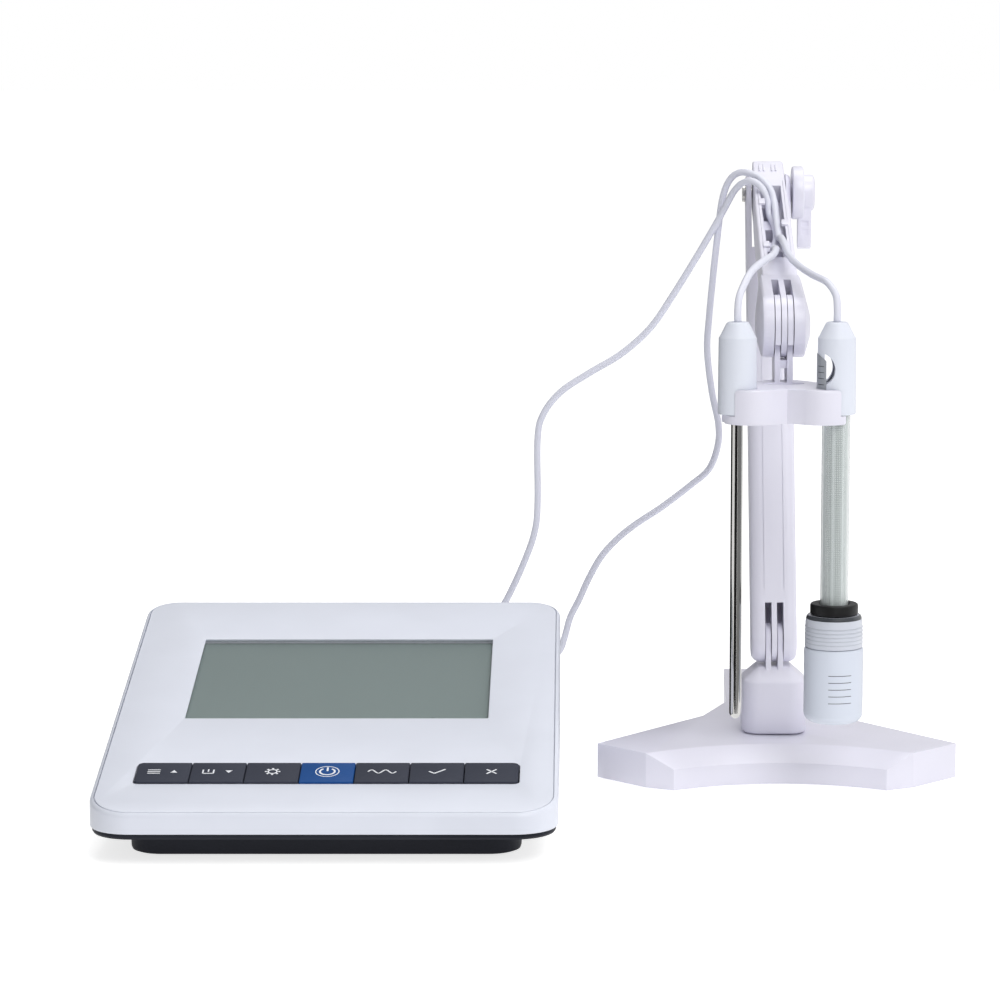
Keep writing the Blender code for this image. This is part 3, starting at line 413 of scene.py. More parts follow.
def sloped(outline, below):
    return [(x, y, face_height(y, below)) for x, y in outline]


def level(outline, z):
    return [(x, y, z) for x, y in outline]


def face_plate(grow, low, high):
    outline = rounded_rect(
        -PANEL_HALF - grow, PANEL_EDGE - grow, PANEL_HALF + grow, FACE_LENGTH - PANEL_EDGE + grow,
        16 * MM + grow, 12 * MM + grow,
    )
    return shaped(upright(outline, low, high), ON_FACE)


def opening(half_width, middle, half_height, corner, steps):
    """A maker of tools for one of the face's openings: grown all round, between two heights."""
    def tool(grow, low, high):
        w, h = half_width + grow, half_height + grow
        outline = rounded_rect(-w, middle - h, w, middle + h, corner, corner, steps)
        return shaped(upright(outline, low, high), ON_FACE)

    return tool


display_hole = opening(DISPLAY[0] / 2, DISPLAY[2], DISPLAY[1] / 2, 0.6 * MM, 3)
key_slot = opening(KEY_PITCH * 3.5, KEY_V, KEY_DEPTH / 2, 2.2 * MM, 5)


WHITE_SHELL = moulded("white_shell", (0.735, 0.762, 0.850), 0.38, grain=2200, relief=0.10, coat=0.15)
roll = [(1 - math.cos(math.radians(a)), 1 - math.sin(math.radians(a))) for a in range(0, 91, 15)]
shell_skin = [level(housing_outline(0.35 * MM), 14.0 * MM), level(housing_outline(0), 14.4 * MM)]
shell_skin += [sloped(housing_outline(inset * RIM_RADIUS), below * RIM_RADIUS) for inset, below in roll]
shell = into_piece("housing_upper", loft(shell_skin), WHITE_SHELL)
inner = loft([level(housing_outline(2.6 * MM), 5 * MM), sloped(housing_outline(2.6 * MM), 3.4 * MM)])
wall_holes = []
for hole_x, radius in zip(SOCKET_X.values(), (4.9 * MM, 3.6 * MM, 4.4 * MM)):
    ring = arc(hole_x, SOCKET_Z, radius, 0, 348.75, 31)
    wall_holes.append(loft([[(x, y, z) for x, z in ring] for y in (BACK_Y - 5 * MM, BACK_Y + 5 * MM)]))
carved(shell, inner, face_plate(0.35 * MM, -1.3 * MM, 9 * MM), display_hole(1.2 * MM, -9 * MM, 3 * MM),
       key_slot(0.3 * MM, -9 * MM, 3 * MM), *wall_holes)
fixed(shell, "desk_units", "white_housing", "upper_shell")

panel = into_piece("housing_face", face_plate(0, -1.0 * MM, 0.0), WHITE_SHELL)
carved(panel, display_hole(0, -3 * MM, 3 * MM), key_slot(0.3 * MM, -3 * MM, 3 * MM), width=0.35 * MM)
fixed(panel, "desk_units", "white_housing", "face_panel")

DARK_SHELL = moulded("dark_shell", (0.016, 0.018, 0.027), 0.50, grain=1400, relief=0.25, shine=0.2)
PLINTH_HALF, PLINTH_CORNER = 80 * MM, 12 * MM


def plinth_outline(inset):
    return rounded_rect(METER_X - PLINTH_HALF + inset, -152 * MM + inset, METER_X + PLINTH_HALF - inset,
                        37 * MM - inset, PLINTH_CORNER, PLINTH_CORNER)


def stacked(*levels):
    """Levels of the plinth's or the housing's outline, each with its inset and height in millimetres."""
    return loft([level(outline(inset * MM), height * MM) for outline, inset, height in levels])


foot, wall = plinth_outline, housing_outline
plinth_skin = stacked((foot, 1.4, 1.5), (foot, 0.5, 2.0), (foot, 0.1, 3.2), (foot, 0, 9.6),
                      (foot, -0.6, 10.5), (wall, 3.6, 11.2), (wall, 1.4, 11.7), (wall, 0.8, 12.6),
                      (wall, 0.9, 13.7))
plinth = into_piece("housing_plinth", plinth_skin, DARK_SHELL)
hollow = stacked((foot, 4, 5.5), (foot, 4, 12.8), (wall, 4, 13.2), (wall, 4, 16))
screw_wells = [upright(arc(x, y, 3.3 * MM, 0, 345, 23), 0, 3.9 * MM)
               for x in (METER_X - 70.5 * MM, METER_X + 70.5 * MM) for y in (-111 * MM, 22 * MM)]
carved(plinth, hollow, *screw_wells)
fixed(plinth, "desk_units", "dark_housing", "lower_shell")

# ---------------------------------------------------------------- display
# A reflective liquid-crystal module, grey-green when off, behind a clear acrylic window that sits
# a little below the face. No segments are lit.

LCD_FACE = moulded("lcd_face", (0.150, 0.200, 0.196), 0.45, grain=3000, relief=0.03, mottle=0.05, shine=0.2)
LCD_WINDOW, _ = new_paint("lcd_window", Base_Color=(0.80, 0.84, 0.83), Roughness=0.12, IOR=1.45, Alpha=0.05)
lcd = into_piece("display_panel", display_hole(0.9 * MM, -8 * MM, -2.5 * MM), LCD_FACE)
fixed(carved(lcd, width=0.2 * MM), "desk_units", "display_face", "display_module")
window = into_piece("display_glass", display_hole(0.9 * MM, -2.2 * MM, -1.4 * MM), LCD_WINDOW)
fixed(carved(window, width=0.1 * MM), "desk_units", "display_glass", "display_window")

# ---------------------------------------------------------------- keys
# Seven keys in one row: hard caps moulded in dark slate, the middle one blue. Each carries a small
# printed sign in white ink: plain marks for mode, store, set, power, measure, confirm and leave.

SLATE = moulded("key_slate", (0.044, 0.049, 0.070), 0.50, grain=2600, relief=0.18, shine=0.12)
BLUE = moulded("key_blue", (0.008, 0.070, 0.26), 0.45, grain=2600, relief=0.15, shine=0.15)
INK = moulded("white_ink", (0.82, 0.84, 0.88), 0.5, grain=3000, relief=0.05)
KEY_TOP, INK_THICKNESS, SIGN_SCALE = 0.8 * MM, 0.05 * MM, 1.45


def key_cap(number):
    """One key. The end keys have round outer corners."""
    centre = (number - 3) * KEY_PITCH
    half_w, half_h = KEY_PITCH / 2 - 0.16 * MM, KEY_DEPTH / 2
    left = 2.0 * MM if number == 0 else 0.25 * MM
    right = 2.0 * MM if number == 6 else 0.25 * MM

    def ring(inset, height):
        x0, x1, y0, y1 = -half_w + inset, half_w - inset, -half_h + inset, half_h - inset
        corners = (
            arc(x0 + left, y0 + left, left, 180, 270, 5) + arc(x1 - right, y0 + right, right, 270, 360, 5)
            + arc(x1 - right, y1 - right, right, 0, 90, 5) + arc(x0 + left, y1 - left, left, 90, 180, 5)
        )
        return [(centre + x, KEY_V + y, height) for x, y in corners]

    return shaped(loft([ring(0, -2.8 * MM), ring(0, KEY_TOP - 0.55 * MM),
                        ring(0.12 * MM, KEY_TOP - 0.2 * MM), ring(0.45 * MM, KEY_TOP)]), ON_FACE)


def flat_sign(shapes, centre):
    """Thin ink shapes, each an outline in millimetres about the key's middle."""
    bm = bmesh.new()
    for outline in shapes:
        spots = [(centre + SIGN_SCALE * x * MM, KEY_V + (SIGN_SCALE * y + 0.4) * MM) for x, y in outline]
        low, high = ([bm.verts.new((x, y, height)) for x, y in spots]
                     for height in (KEY_TOP, KEY_TOP + INK_THICKNESS))
        for i in range(len(spots)):
            j = (i + 1) % len(spots)
            bm.faces.new((low[i], low[j], high[j], high[i]))
        bm.faces.new(list(reversed(low)))
        bm.faces.new(high)
    return shaped(bm, ON_FACE)


def stroke(x0, y0, x1, y1, width=0.42):
    length = math.hypot(x1 - x0, y1 - y0)
    nx, ny = -(y1 - y0) / length * width / 2, (x1 - x0) / length * width / 2
    return [(x0 + nx, y0 + ny), (x0 - nx, y0 - ny), (x1 - nx, y1 - ny), (x1 + nx, y1 + ny)]


def band(cx, cy, radius, start, end, width=0.42, steps=18):
    outer = arc(cx, cy, radius + width / 2, start, end, steps)
    return outer + list(reversed(arc(cx, cy, radius - width / 2, start, end, steps)))


def triangle(cx, cy, size, up):
    return [(cx - size, cy - up * size * 0.7), (cx + size, cy - up * size * 0.7), (cx, cy + up * size * 0.9)]


wave = [(-4 + i * 0.5, 1.1 * math.sin(i * math.pi / 4)) for i in range(17)]
SIGNS = {
    "key_mode": [stroke(-4.4, y, -0.8, y) for y in (-1.1, 0, 1.1)] + [triangle(3.1, 0, 1.0, 1)],
    "key_store": [stroke(-4.2, -1.2, -1.2, -1.2), stroke(-4.2, -1.2, -4.2, 1.2),
                  stroke(-1.2, -1.2, -1.2, 1.2), stroke(-2.7, 1.4, -2.7, -0.2), triangle(3.1, 0, 1.0, -1)],
    "key_set": [band(0, 0, 1.25, 0, 179), band(0, 0, 1.25, 180, 359)]
               + [stroke(1.6 * math.cos(a), 1.6 * math.sin(a), 2.2 * math.cos(a), 2.2 * math.sin(a), 0.6)
                  for a in [math.radians(45 * k) for k in range(8)]],
    "key_power": [band(0, 0, 2.1, 125, 415, 0.55, 30), stroke(0, 0.3, 0, 2.7, 0.55)]
                 + [band(0, 0, 3.3, 0, 179, 0.3, 24), band(0, 0, 3.3, 180, 359, 0.3, 24)],
    "key_measure": [stroke(*a, *b) for a, b in zip(wave, wave[1:])],
    "key_confirm": [stroke(-2.2, 0.1, -0.6, -1.3, 0.5), stroke(-0.75, -1.3, 2.4, 1.5, 0.5)],
    "key_escape": [stroke(-1.4, -1.4, 1.4, 1.4, 0.5), stroke(-1.4, 1.4, 1.4, -1.4, 0.5)],
}
for number, (key, shapes) in enumerate(SIGNS.items()):
    tint, slot = (BLUE, "key_blue") if key == "key_power" else (SLATE, "key_slate")
    fixed(into_piece(f"{key}_cap", key_cap(number), tint), key, slot, key)
    fixed(into_piece(f"{key}_sign", flat_sign(shapes, (number - 3) * KEY_PITCH), INK), key, slot)

# ---------------------------------------------------------------- electronics inside the meter
# A rubber dome mat and two green fibreglass boards, screwed to the upper shell. They are seen only
# where the face is opened. The dome mat is one sheet of black silicone.

RUBBER = moulded("black_silicone", (0.018, 0.018, 0.020), 0.55, grain=1800, relief=0.3)
BOARD, board_shader = new_paint("green_board", Roughness=0.35)
board_place = BOARD.node_tree.nodes.new("ShaderNodeTexCoord")
tracks = fill(BOARD.node_tree.nodes.new("ShaderNodeTexBrick"), Scale=260, Color1=(0.010, 0.115, 0.045),
              Color2=(0.012, 0.140, 0.055), Mortar=(0.030, 0.210, 0.090))
wires(BOARD.node_tree, board_place.outputs["Object"], tracks.inputs["Vector"], tracks.outputs["Color"],
      board_shader.inputs["Base Color"])


def painted(material, *names):
    """Give CAD nodes that keep their own shape their finish."""
    for name in names:
        nodes[name].data.materials.clear()
        nodes[name].data.materials.append(material)


painted(RUBBER, "keypad_mat")
painted(BOARD, "switch_board", "main_board")

# ---------------------------------------------------------------- feet and case screws
# Soft round feet are stuck in the plinth's corners and under the stand. Four zinc-plated screws
# with a cross recess come up through the plinth.


def socket_of(modifier, title):
    """The identifier of a modifier's named input."""
    sockets = [i for i in modifier.node_group.interface.items_tree if i.item_type == "SOCKET"]
    return next(i.identifier for i in sockets if i.in_out == "INPUT" and i.name == title)


def start_tree(name, **inputs):
    """An empty geometry tree with named inputs, and a function that adds nodes to it."""
    tree = bpy.data.node_groups.new(name, "GeometryNodeTree")
    for title, kind in {**inputs, "Finish": "Material"}.items():
        tree.interface.new_socket(title, in_out="INPUT", socket_type=f"NodeSocket{kind}")
    tree.interface.new_socket("Geometry", in_out="OUTPUT", socket_type="NodeSocketGeometry")
    given = tree.nodes.new("NodeGroupInput")

    def add(kind, **sources):
        """A node, each of whose inputs takes one of the tree's inputs, a socket or a plain value."""
        node = tree.nodes.new(kind)
        for title, source in sources.items():
            source = given.outputs[source] if isinstance(source, str) else source
            if isinstance(source, bpy.types.NodeSocket):
                tree.links.new(source, node.inputs[title.replace("_", " ")])
            else:
                fill(node, **{title: source})
        return node

    return tree, add


def end_tree(tree, add, points, instance, rotation=(0, 0, 0)):
    """Set an instance on every point, realize them all, give them their finish and send them out."""
    spread = add("GeometryNodeInstanceOnPoints", Points=points.outputs["Mesh"], Instance=instance,
                 Rotation=rotation)
    real = add("GeometryNodeRealizeInstances", Geometry=spread.outputs[0])
    paint = add("GeometryNodeSetMaterial", Geometry=real.outputs[0], Material="Finish")
    tree.links.new(paint.outputs[0], tree.nodes.new("NodeGroupOutput").inputs[0])
    return tree


def grown(name, tree, matrix=None, **values):
    """Run a geometry tree with the given inputs and keep its result as a plain mesh."""
    piece = placed(name, bpy.data.meshes.new(name))
    modifier = piece.modifiers.new("grow", "NODES")
    modifier.node_group = tree
    for title, value in values.items():
        modifier[socket_of(modifier, title)] = value
    bpy.context.view_layer.update()
    mesh = bpy.data.meshes.new_from_object(piece.evaluated_get(bpy.context.evaluated_depsgraph_get()))
    piece.modifiers.clear()
    piece.data = mesh
    mesh.name = name
    mesh.transform(matrix or Matrix())
    mesh.shade_smooth()
    mesh.set_sharp_from_angle(angle=math.radians(30))
    return piece


def four_corners_tree():
    """One part set out at the four corners of a rectangle."""
    tree, add = start_tree("four_corners", Part="Object", Wide="Float", Deep="Float")
    grid = add("GeometryNodeMeshGrid", Vertices_X=2, Vertices_Y=2, Size_X="Wide", Size_Y="Deep")
    part = add("GeometryNodeObjectInfo", Object="Part")
    return end_tree(tree, add, grid, part.outputs["Geometry"])


def turned(profile, centre=(0, 0, 0), axis="Z", segments=64):
    """A profile of (radius, height) in millimetres, spun about an axis. Off the axis it closes as a ring."""
    quarter = math.pi / 2
    tips = {"Z": Matrix(), "Y": Matrix.Rotation(-quarter, 4, "X"), "X": Matrix.Rotation(quarter, 4, "Y")}
    bm = bmesh.new()
    steps = [2 * math.pi * i / segments for i in range(segments)]
    rows = []
    for radius, height in profile:
        spots = [(radius * MM * math.cos(a), radius * MM * math.sin(a), height * MM) for a in steps]
        rows.append([bm.verts.new(p) for p in (spots if radius > 1e-4 else [(0, 0, height * MM)])])
    pairs = list(zip(rows, rows[1:])) + ([(rows[-1], rows[0])] if len(rows[0]) > 1 else [])
    for low, high in pairs:
        for i in range(segments):
            j = (i + 1) % segments
            if len(low) == 1:
                bm.faces.new((low[0], high[j], high[i]))
            elif len(high) == 1:
                bm.faces.new((low[i], low[j], high[0]))
            else:
                bm.faces.new((low[i], low[j], high[j], high[i]))
    return shaped(bm, Matrix.Translation(centre) @ tips[axis])


FOUR_CORNERS = four_corners_tree()
PLATED = moulded("zinc_plate", (0.55, 0.56, 0.57), 0.34, grain=900, relief=0.1, mottle=0.25, metallic=1.0)


def at_corners(name, shape, middle_y, wide, deep, slot, node):
    """Four of one shape under the meter, standing for four numbered nodes. Lengths are in millimetres."""
    four = grown(name, FOUR_CORNERS, Matrix.Translation((METER_X, middle_y * MM, 0)), Part=shape,
                 Wide=wide * MM, Deep=deep * MM, Finish=shape.data.materials[0])
    bpy.data.objects.remove(shape)
    fixed(four, "desk_units", slot, *(f"{node}_{n}" for n in range(1, 5)))


foot_shape = into_piece("foot_shape", turned([(0, 0), (6.4, 0), (6.9, 0.35), (7, 1.2), (0, 1.2)]), RUBBER)
at_corners("meter_feet", foot_shape, -57.5, 120, 125, "black_rubber", "meter_foot")
screw_line = [(0, 1.9), (2.2, 1.7), (2.9, 2.2), (2.9, 3.6), (1.45, 3.6), (1.45, 20), (0, 20)]
screw_shape = into_piece("screw_shape", turned(screw_line, segments=32), PLATED)
carved(screw_shape, *(block((-x * MM, -y * MM, 0), (x * MM, y * MM, 2.7 * MM))
                      for x, y in ((1.5, 0.3), (0.3, 1.5))))
at_corners("case_screws", screw_shape, -44.5, 141, 133, "mild_steel", "case_screw")

# ---------------------------------------------------------------- sockets in the back wall
# A nickel-plated bayonet socket for the pH electrode, a small round one for the temperature probe,
# and a power inlet. Each is held to the wall by its own flange.

NICKEL = moulded("nickel", (0.62, 0.61, 0.58), 0.24, grain=700, relief=0.05, mottle=0.15, metallic=1.0)


def on_wall(name, plug, material, slot, node, profile):
    """A piece turned about a line through the back wall. Heights are millimetres out from the wall."""
    piece = into_piece(name, turned(profile, (SOCKET_X[plug], BACK_Y, SOCKET_Z), "Y"), material)
    fixed(piece, "desk_units", slot, node)


on_wall("bayonet_socket", "ph", NICKEL, "stainless_steel", "ph_socket", [
    (0, -12), (7, -12), (7, -3), (4.8, -3), (4.8, 8.6), (4.5, 9), (4.1, 9), (3.9, 8.7), (3.9, 2), (0, 2)])
on_wall("probe_socket", "temperature", DARK_SHELL, "dark_housing", "temperature_socket", [
    (0, -12), (5.5, -12), (5.5, -3), (3.4, -3), (3.4, 0.7), (3.1, 1), (2.1, 1), (1.9, 0.8), (1.9, -9), (0, -9)])
on_wall("power_inlet", "power", DARK_SHELL, "dark_housing", "power_socket", [
    (0, -12), (6.5, -12), (6.5, -3), (4.2, -3), (4.2, 0.5), (3.9, 0.8), (3.1, 0.8), (2.9, 0.6), (2.9, -9),
    (1, -9), (1, -2), (0, -1.4)])

# ---------------------------------------------------------------- plugs
# The pH lead ends in a nickel bayonet plug with a knurled grip, the probe's lead in a moulded black
# one. A tapered boot behind each holds its lead.

on_wall("bayonet_plug", "ph", NICKEL, "stainless_steel", "ph_plug", [
    (0, 9.4), (5.1, 9.4), (5.1, 1.2), (6.8, 1.2), (7.2, 1.7), (7.2, 8.6), (6.7, 9.2), (6.7, 11.2), (7.0, 11.6),
    (7.0, 25.4), (6.4, 26), (3.2, 26), (3.0, 31), (2.3, 42), (0, 42)])


def ribbed_grip_tree():
    """Half-round ribs standing round a barrel."""
    tree, add = start_tree("ribbed_grip", Count="Int", Barrel="Float", Length="Float", Thickness="Float")
    rib = add("GeometryNodeMeshCylinder", Vertices=10, Depth="Length", Radius="Thickness")
    ring = add("GeometryNodeMeshCircle", Vertices="Count", Radius="Barrel")
    return end_tree(tree, add, ring, rib.outputs["Mesh"])


RIBBED_GRIP = ribbed_grip_tree()


def grip_on(name, plug, out, count, finish, slot, barrel, length, thickness):
    """Ribs round a plug's barrel, with their middle a distance in millimetres out from the wall."""
    middle = Matrix.Translation((SOCKET_X[plug], BACK_Y + out * MM, SOCKET_Z))
    ribs = grown(name, RIBBED_GRIP, middle @ Matrix.Rotation(math.pi / 2, 4, "X"), Count=count,
                 Barrel=barrel * MM, Length=length * MM, Thickness=thickness * MM, Finish=finish)
    fixed(ribs, "desk_units", slot)


grip_on("bayonet_grip", "ph", 18.4, 36, NICKEL, "stainless_steel", 6.95, 12, 0.32)
on_wall("probe_plug", "temperature", DARK_SHELL, "dark_housing", "temperature_plug", [
    (0, -8.5), (1.5, -8.5), (1.5, 1.5), (4.6, 1.5), (5, 2), (5, 17.6), (4.6, 18.2), (3.3, 18.6), (3.1, 22),
    (2.3, 34), (0, 34)])
grip_on("probe_grip", "temperature", 10, 20, DARK_SHELL, "dark_housing", 4.95, 11, 0.35)

# ---------------------------------------------------------------- stand base
# A heavy three-armed foot moulded in violet-white ABS: short front arms cut square at the ends, a
# long tapering rear one and a sloping front edge. A steel plate is glued into its hollow.

STAND_X = 103.4 * MM
BASE_TOP = 16.5
TURRET_Y = 24 * MM
STAND_SHELL = moulded("stand_shell", (0.775, 0.765, 0.865), 0.36, grain=2000, relief=0.10, coat=0.2)


def on_stand(x, y, z):
    """A point given in millimetres, with its x measured from the stand's middle plane."""
    return STAND_X + x * MM, y * MM, z * MM


def bowed_edge(end_x, end_y, middle_y, steps=24):
    """The front edge, a shallow curve bowed back in the middle."""
    spots = [2 * i / steps - 1 for i in range(steps + 1)]
    return [(end_x * t, middle_y + (end_y - middle_y) * t * t) for t in spots]


right_side = [(59.3, -28), (80.6, -7), (30.8, 54), (18.6, 87), (16, 169)]
both_sides = right_side + [(-x, y) for x, y in reversed(right_side)]
foot_line = bowed_edge(47, -34, -20.5) + both_sides
brow_line = bowed_edge(59.3, -28, -8) + both_sides
brow_height = [10.3] * (len(foot_line) - len(both_sides)) + [BASE_TOP] * len(both_sides)
base = into_piece("stand_base_shell", loft([
    [on_stand(x, y, 0.9) for x, y in foot_line],
    [on_stand(x, y, z) for (x, y), z in zip(foot_line, brow_height)],
    [on_stand(x, y, BASE_TOP) for x, y in brow_line]]), STAND_SHELL)


def hollow_line(scale):
    half = [(69, -7), (26, 45), (14, 84), (11.5, 163)]
    outline = bowed_edge(52, -20, -6, 12) + half + [(-x, y) for x, y in reversed(half)]
    return [(STAND_X + x * scale * MM, (30 + (y - 30) * scale) * MM) for x, y in outline]


def bolt_hole(radius, height):
    return turned([(0, 0), (radius, 0), (radius, height), (0, height)], (STAND_X, TURRET_Y, 0))


carved(base, upright(hollow_line(1), 0, 12.5 * MM), bolt_hole(3.3, 30), width=0.45 * MM, segments=3, angle=14)
fixed(base, "desk_units", "stand_plastic", "stand_base")
plate = into_piece("ballast_plate", upright(hollow_line(0.95), 1.2 * MM, 8.5 * MM), PLATED)
carved(plate, bolt_hole(9, 30), width=0.4 * MM)
fixed(plate, "desk_units", "mild_steel", "base_weight")
for where, x, y in (("left", -46, -2), ("right", 46, -2), ("rear", 0, 150)):
    disc = turned([(0, 0), (7, 0), (7.4, 0.3), (7.5, 0.9), (0, 0.9)], on_stand(x, y, 0))
    disc = into_piece(f"base_pad_{where}_disc", disc, RUBBER)
    fixed(disc, "desk_units", "black_rubber", f"base_pad_{where}")

# ---------------------------------------------------------------- swivelling foot of the arm
# A square block with well-rounded corners that turns on the base about a hidden bolt. Its
# shoulders slope up to two flat lugs, which carry the arm's foot pin.

FOOT_PIN = (24.0, 57.6)
LUG_SPANS = ((-3.9 * MM, -1.5 * MM), (1.5 * MM, 3.9 * MM))
PIN_ROOM, ELBOW_ROOM = 2.3, 2.8


def sideways(outline, low, high):
    """A y, z outline in millimetres, extruded along x about the stand's middle plane."""
    return loft([[(STAND_X + x, y * MM, z * MM) for y, z in outline] for x in (low, high)])


def hub_ring(inset, height):
    half_side, corner = 14.6 - inset, 8 - inset
    outline = rounded_rect(-half_side, -half_side, half_side, half_side, corner, corner, 10)
    return [(STAND_X + x * MM, TURRET_Y + y * MM, height * MM) for x, y in outline]


hub = into_piece("swivel_block", loft([hub_ring(*ring) for ring in (
    (1.1, 16.9), (0.35, 17.5), (0.0, 18.6), (0.25, 40.0), (0.4, 40.7), (0.8, 41.3), (1.6, 42.0), (6.7, 46.4),
    (7.3, 46.8))]), STAND_SHELL)
lug = arc(*FOOT_PIN, 8.2, -10, 190, 32) + [(24 - 9.5, 40.6), (24 + 9.5, 40.6)]
for low, high in LUG_SPANS:
    carved(hub, sideways(lug, low, high), operation="UNION")
pin_hole = turned([(0, -20), (PIN_ROOM, -20), (PIN_ROOM, 20), (0, 20)], on_stand(0, *FOOT_PIN), "X")
carved(hub, pin_hole, bolt_hole(3.3, 30.5), width=0.25 * MM)
fixed(hub, "turret", "stand_plastic", "turret")
painted(PLATED, "swivel_bolt")

# ---------------------------------------------------------------- lower arm
# A long hollow ABS beam, round at both ends and rolled over at its flanks, with a flush front strip
# between two hairlines. Slots at its foot take the lugs and a fork at its top takes the upper arm.

ELBOW = (99.0, 258.0)


def capsule(p, q, rp, rq, steps=28):
    """Outline round two circles and the straight flanks between them."""
    bearing = math.degrees(math.atan2(q[1] - p[1], q[0] - p[0]))
    lean = math.degrees(math.asin((rp - rq) / math.dist(p, q)))
    ahead = arc(*q, rq, bearing - 90 + lean, bearing + 90 - lean, steps)
    return ahead + arc(*p, rp, bearing + 90 - lean, bearing + 270 + lean, steps)


def beside(start, end, along, off):
    """The (y, z) point at a distance along the line from start to end, and off to its left."""
    length = math.dist(start, end)
    to_y, to_z = (end[0] - start[0]) / length, (end[1] - start[1]) / length
    return start[0] + to_y * along - to_z * off, start[1] + to_z * along + to_y * off


def on_lower(along, off):
    return beside(FOOT_PIN, ELBOW, along, off)


def slab(on, low, high, along0, along1, off0, off1):
    """A straight-sided block lying along an arm, between two x in millimetres."""
    corners = [on(along0, off0), on(along1, off0), on(along1, off1), on(along0, off1)]
    return sideways(corners, low * MM, high * MM)


def cross_hole(radius, pin, low=-20, high=20):
    """A round tool along x about a pin's axis."""
    return turned([(0, low), (radius, low), (radius, high), (0, high)], on_stand(0, *pin), "X", 40)


lower_length = math.dist(FOOT_PIN, ELBOW)
HALF_WIDTH, FILLET = 10.4, 4.4
corner_turns = [math.radians(90 * step / 7) for step in range(8)]
flank = [(HALF_WIDTH - FILLET * (1 - math.sin(a)), FILLET * (1 - math.cos(a))) for a in corner_turns]
flank = [(-x, inset) for x, inset in reversed(flank)] + flank
beam_skin = []
for x, inset in flank:
    outline = capsule(FOOT_PIN, ELBOW, 9.6 - 0.8 * inset, 9.2 - 0.45 * inset)
    beam_skin.append([on_stand(x, y, z) for y, z in outline])
beam = into_piece("lower_arm_beam", loft(beam_skin), STAND_SHELL)
foot_slot = capsule(FOOT_PIN, on_lower(8, 0), 12.5, 12.4)
fork = capsule(on_lower(lower_length - 20, 0), on_lower(lower_length + 4, 0), 13, 13.1)
carved(
    beam, sideways(foot_slot, -4.2 * MM, -1.2 * MM), sideways(foot_slot, 1.2 * MM, 4.2 * MM),
    sideways(fork, -8.1 * MM, 8.1 * MM), cross_hole(PIN_ROOM, FOOT_PIN), cross_hole(ELBOW_ROOM, ELBOW),
    slab(on_lower, -4.65, -4.4, 22, lower_length - 30, 9.05, 12),
    slab(on_lower, 4.4, 4.65, 22, lower_length - 30, 9.05, 12),
    slab(on_lower, -7.6, 7.6, 36, lower_length - 24, -6.9, 6.9),
)
carved(beam, slab(on_lower, -4.5, 4.5, 9.5, 24, -9.2, -8.5), operation="UNION")
fixed(beam, "lower_arm", "stand_plastic", "lower_arm")
painted(NICKEL, "foot_pivot_pin", "elbow_bolt")

# ---------------------------------------------------------------- upper arm
# A second ABS beam with an open trough along its top for the leads. Three small hooks keep them in,
# and windows in the trough's floor let the moulding tool pass. A round paddle with domed flanks at
# its end takes the holder's plates.

WRIST = (-24.0, 206.0)
upper_length = math.dist(ELBOW, WRIST)
uy, uz = (WRIST[0] - ELBOW[0]) / upper_length, (WRIST[1] - ELBOW[1]) / upper_length


def on_upper(along, off):
    return beside(ELBOW, WRIST, along, -off)


def on_upper_skin(x, along, off):
    """A frame on the arm's upper side: its y runs back towards the elbow and its z out of the arm."""
    y, z = on_upper(along, off)
    turn = Matrix(((1, 0, 0), (0, -uy, uz), (0, -uz, -uy))).to_4x4()
    return Matrix.Translation(on_stand(x, y, z)) @ turn


back_line = [on_upper(a, h) for a, h in
             [(-8, 12.8), (0, 12.3), (6, 11.5), (12, 10.9), (84, 10.6), (104, 9.6), (118, 10.2)]]
arm_heading = math.degrees(math.atan2(uz, uy))
tip_line = arc(*WRIST, 13.8, arm_heading - 132, arm_heading + 132, 36)
belly_line = [on_upper(a, h) for a, h in
              [(118, -10.2), (104, -8.8), (20, -8.4), (-7, -8.4), (-10.5, -4.5), (-11.5, 1), (-11.5, 9)]]
widths = [(-14, 6.8), (-6, 7.3), (16, 7.4), (40, 7.9), (100, 7.9), (upper_length + 15, 8.4)]


def plan_ring(off):
    return [on_stand(w, *on_upper(a, off)) for a, w in widths + [(a, -w) for a, w in reversed(widths)]]


side_view = sideways(back_line + tip_line + belly_line, -12 * MM, 12 * MM)
arm = into_piece("upper_arm_beam", side_view, STAND_SHELL)
plan_view = loft([plan_ring(-30), plan_ring(30)])
carved(arm, plan_view, operation="INTERSECT", width=1.3 * MM, segments=5, angle=24)
paddle_skin = []
for x, tail, radius, tail_radius in ((8.3, 27, 13.8, 9.9), (9.0, 24, 13.6, 9.6), (9.4, 21, 13.1, 9.1),
                                     (11.6, 5, 5.6, 4.6), (11.75, 4, 4.4, 3.6)):
    outline = capsule(WRIST, on_upper(upper_length - tail, 0), radius, tail_radius)
    paddle_skin.append([on_stand(x, y, z) for y, z in outline])
    paddle_skin.insert(0, [on_stand(-x, y, z) for y, z in outline])
carved(arm, loft(paddle_skin), operation="UNION")
plate_slots = [slab(on_upper, low, high, 110, 160, -20, 20) for low, high in ((-4.3, -1.2), (1.2, 4.3))]
floor_windows = [slab(on_upper, -3.4, 3.4, a, a + 13, -6.8, 3) for a in (22, 44, 66)]
carved(arm, slab(on_upper, -4.9, 4.9, 15, 88, 2.2, 20), *plate_slots, *floor_windows,
       slab(on_upper, -6.15, -6.0, 10, 100, 10.1, 14), slab(on_upper, 6.0, 6.15, 10, 100, 10.1, 14),
       cross_hole(PIN_ROOM, WRIST), cross_hole(ELBOW_ROOM, ELBOW))
carved(arm, slab(on_upper, -4.5, 4.5, 108, 117.5, -9.4, -8.4), operation="UNION")
fixed(arm, "upper_arm", "stand_plastic", "upper_arm")
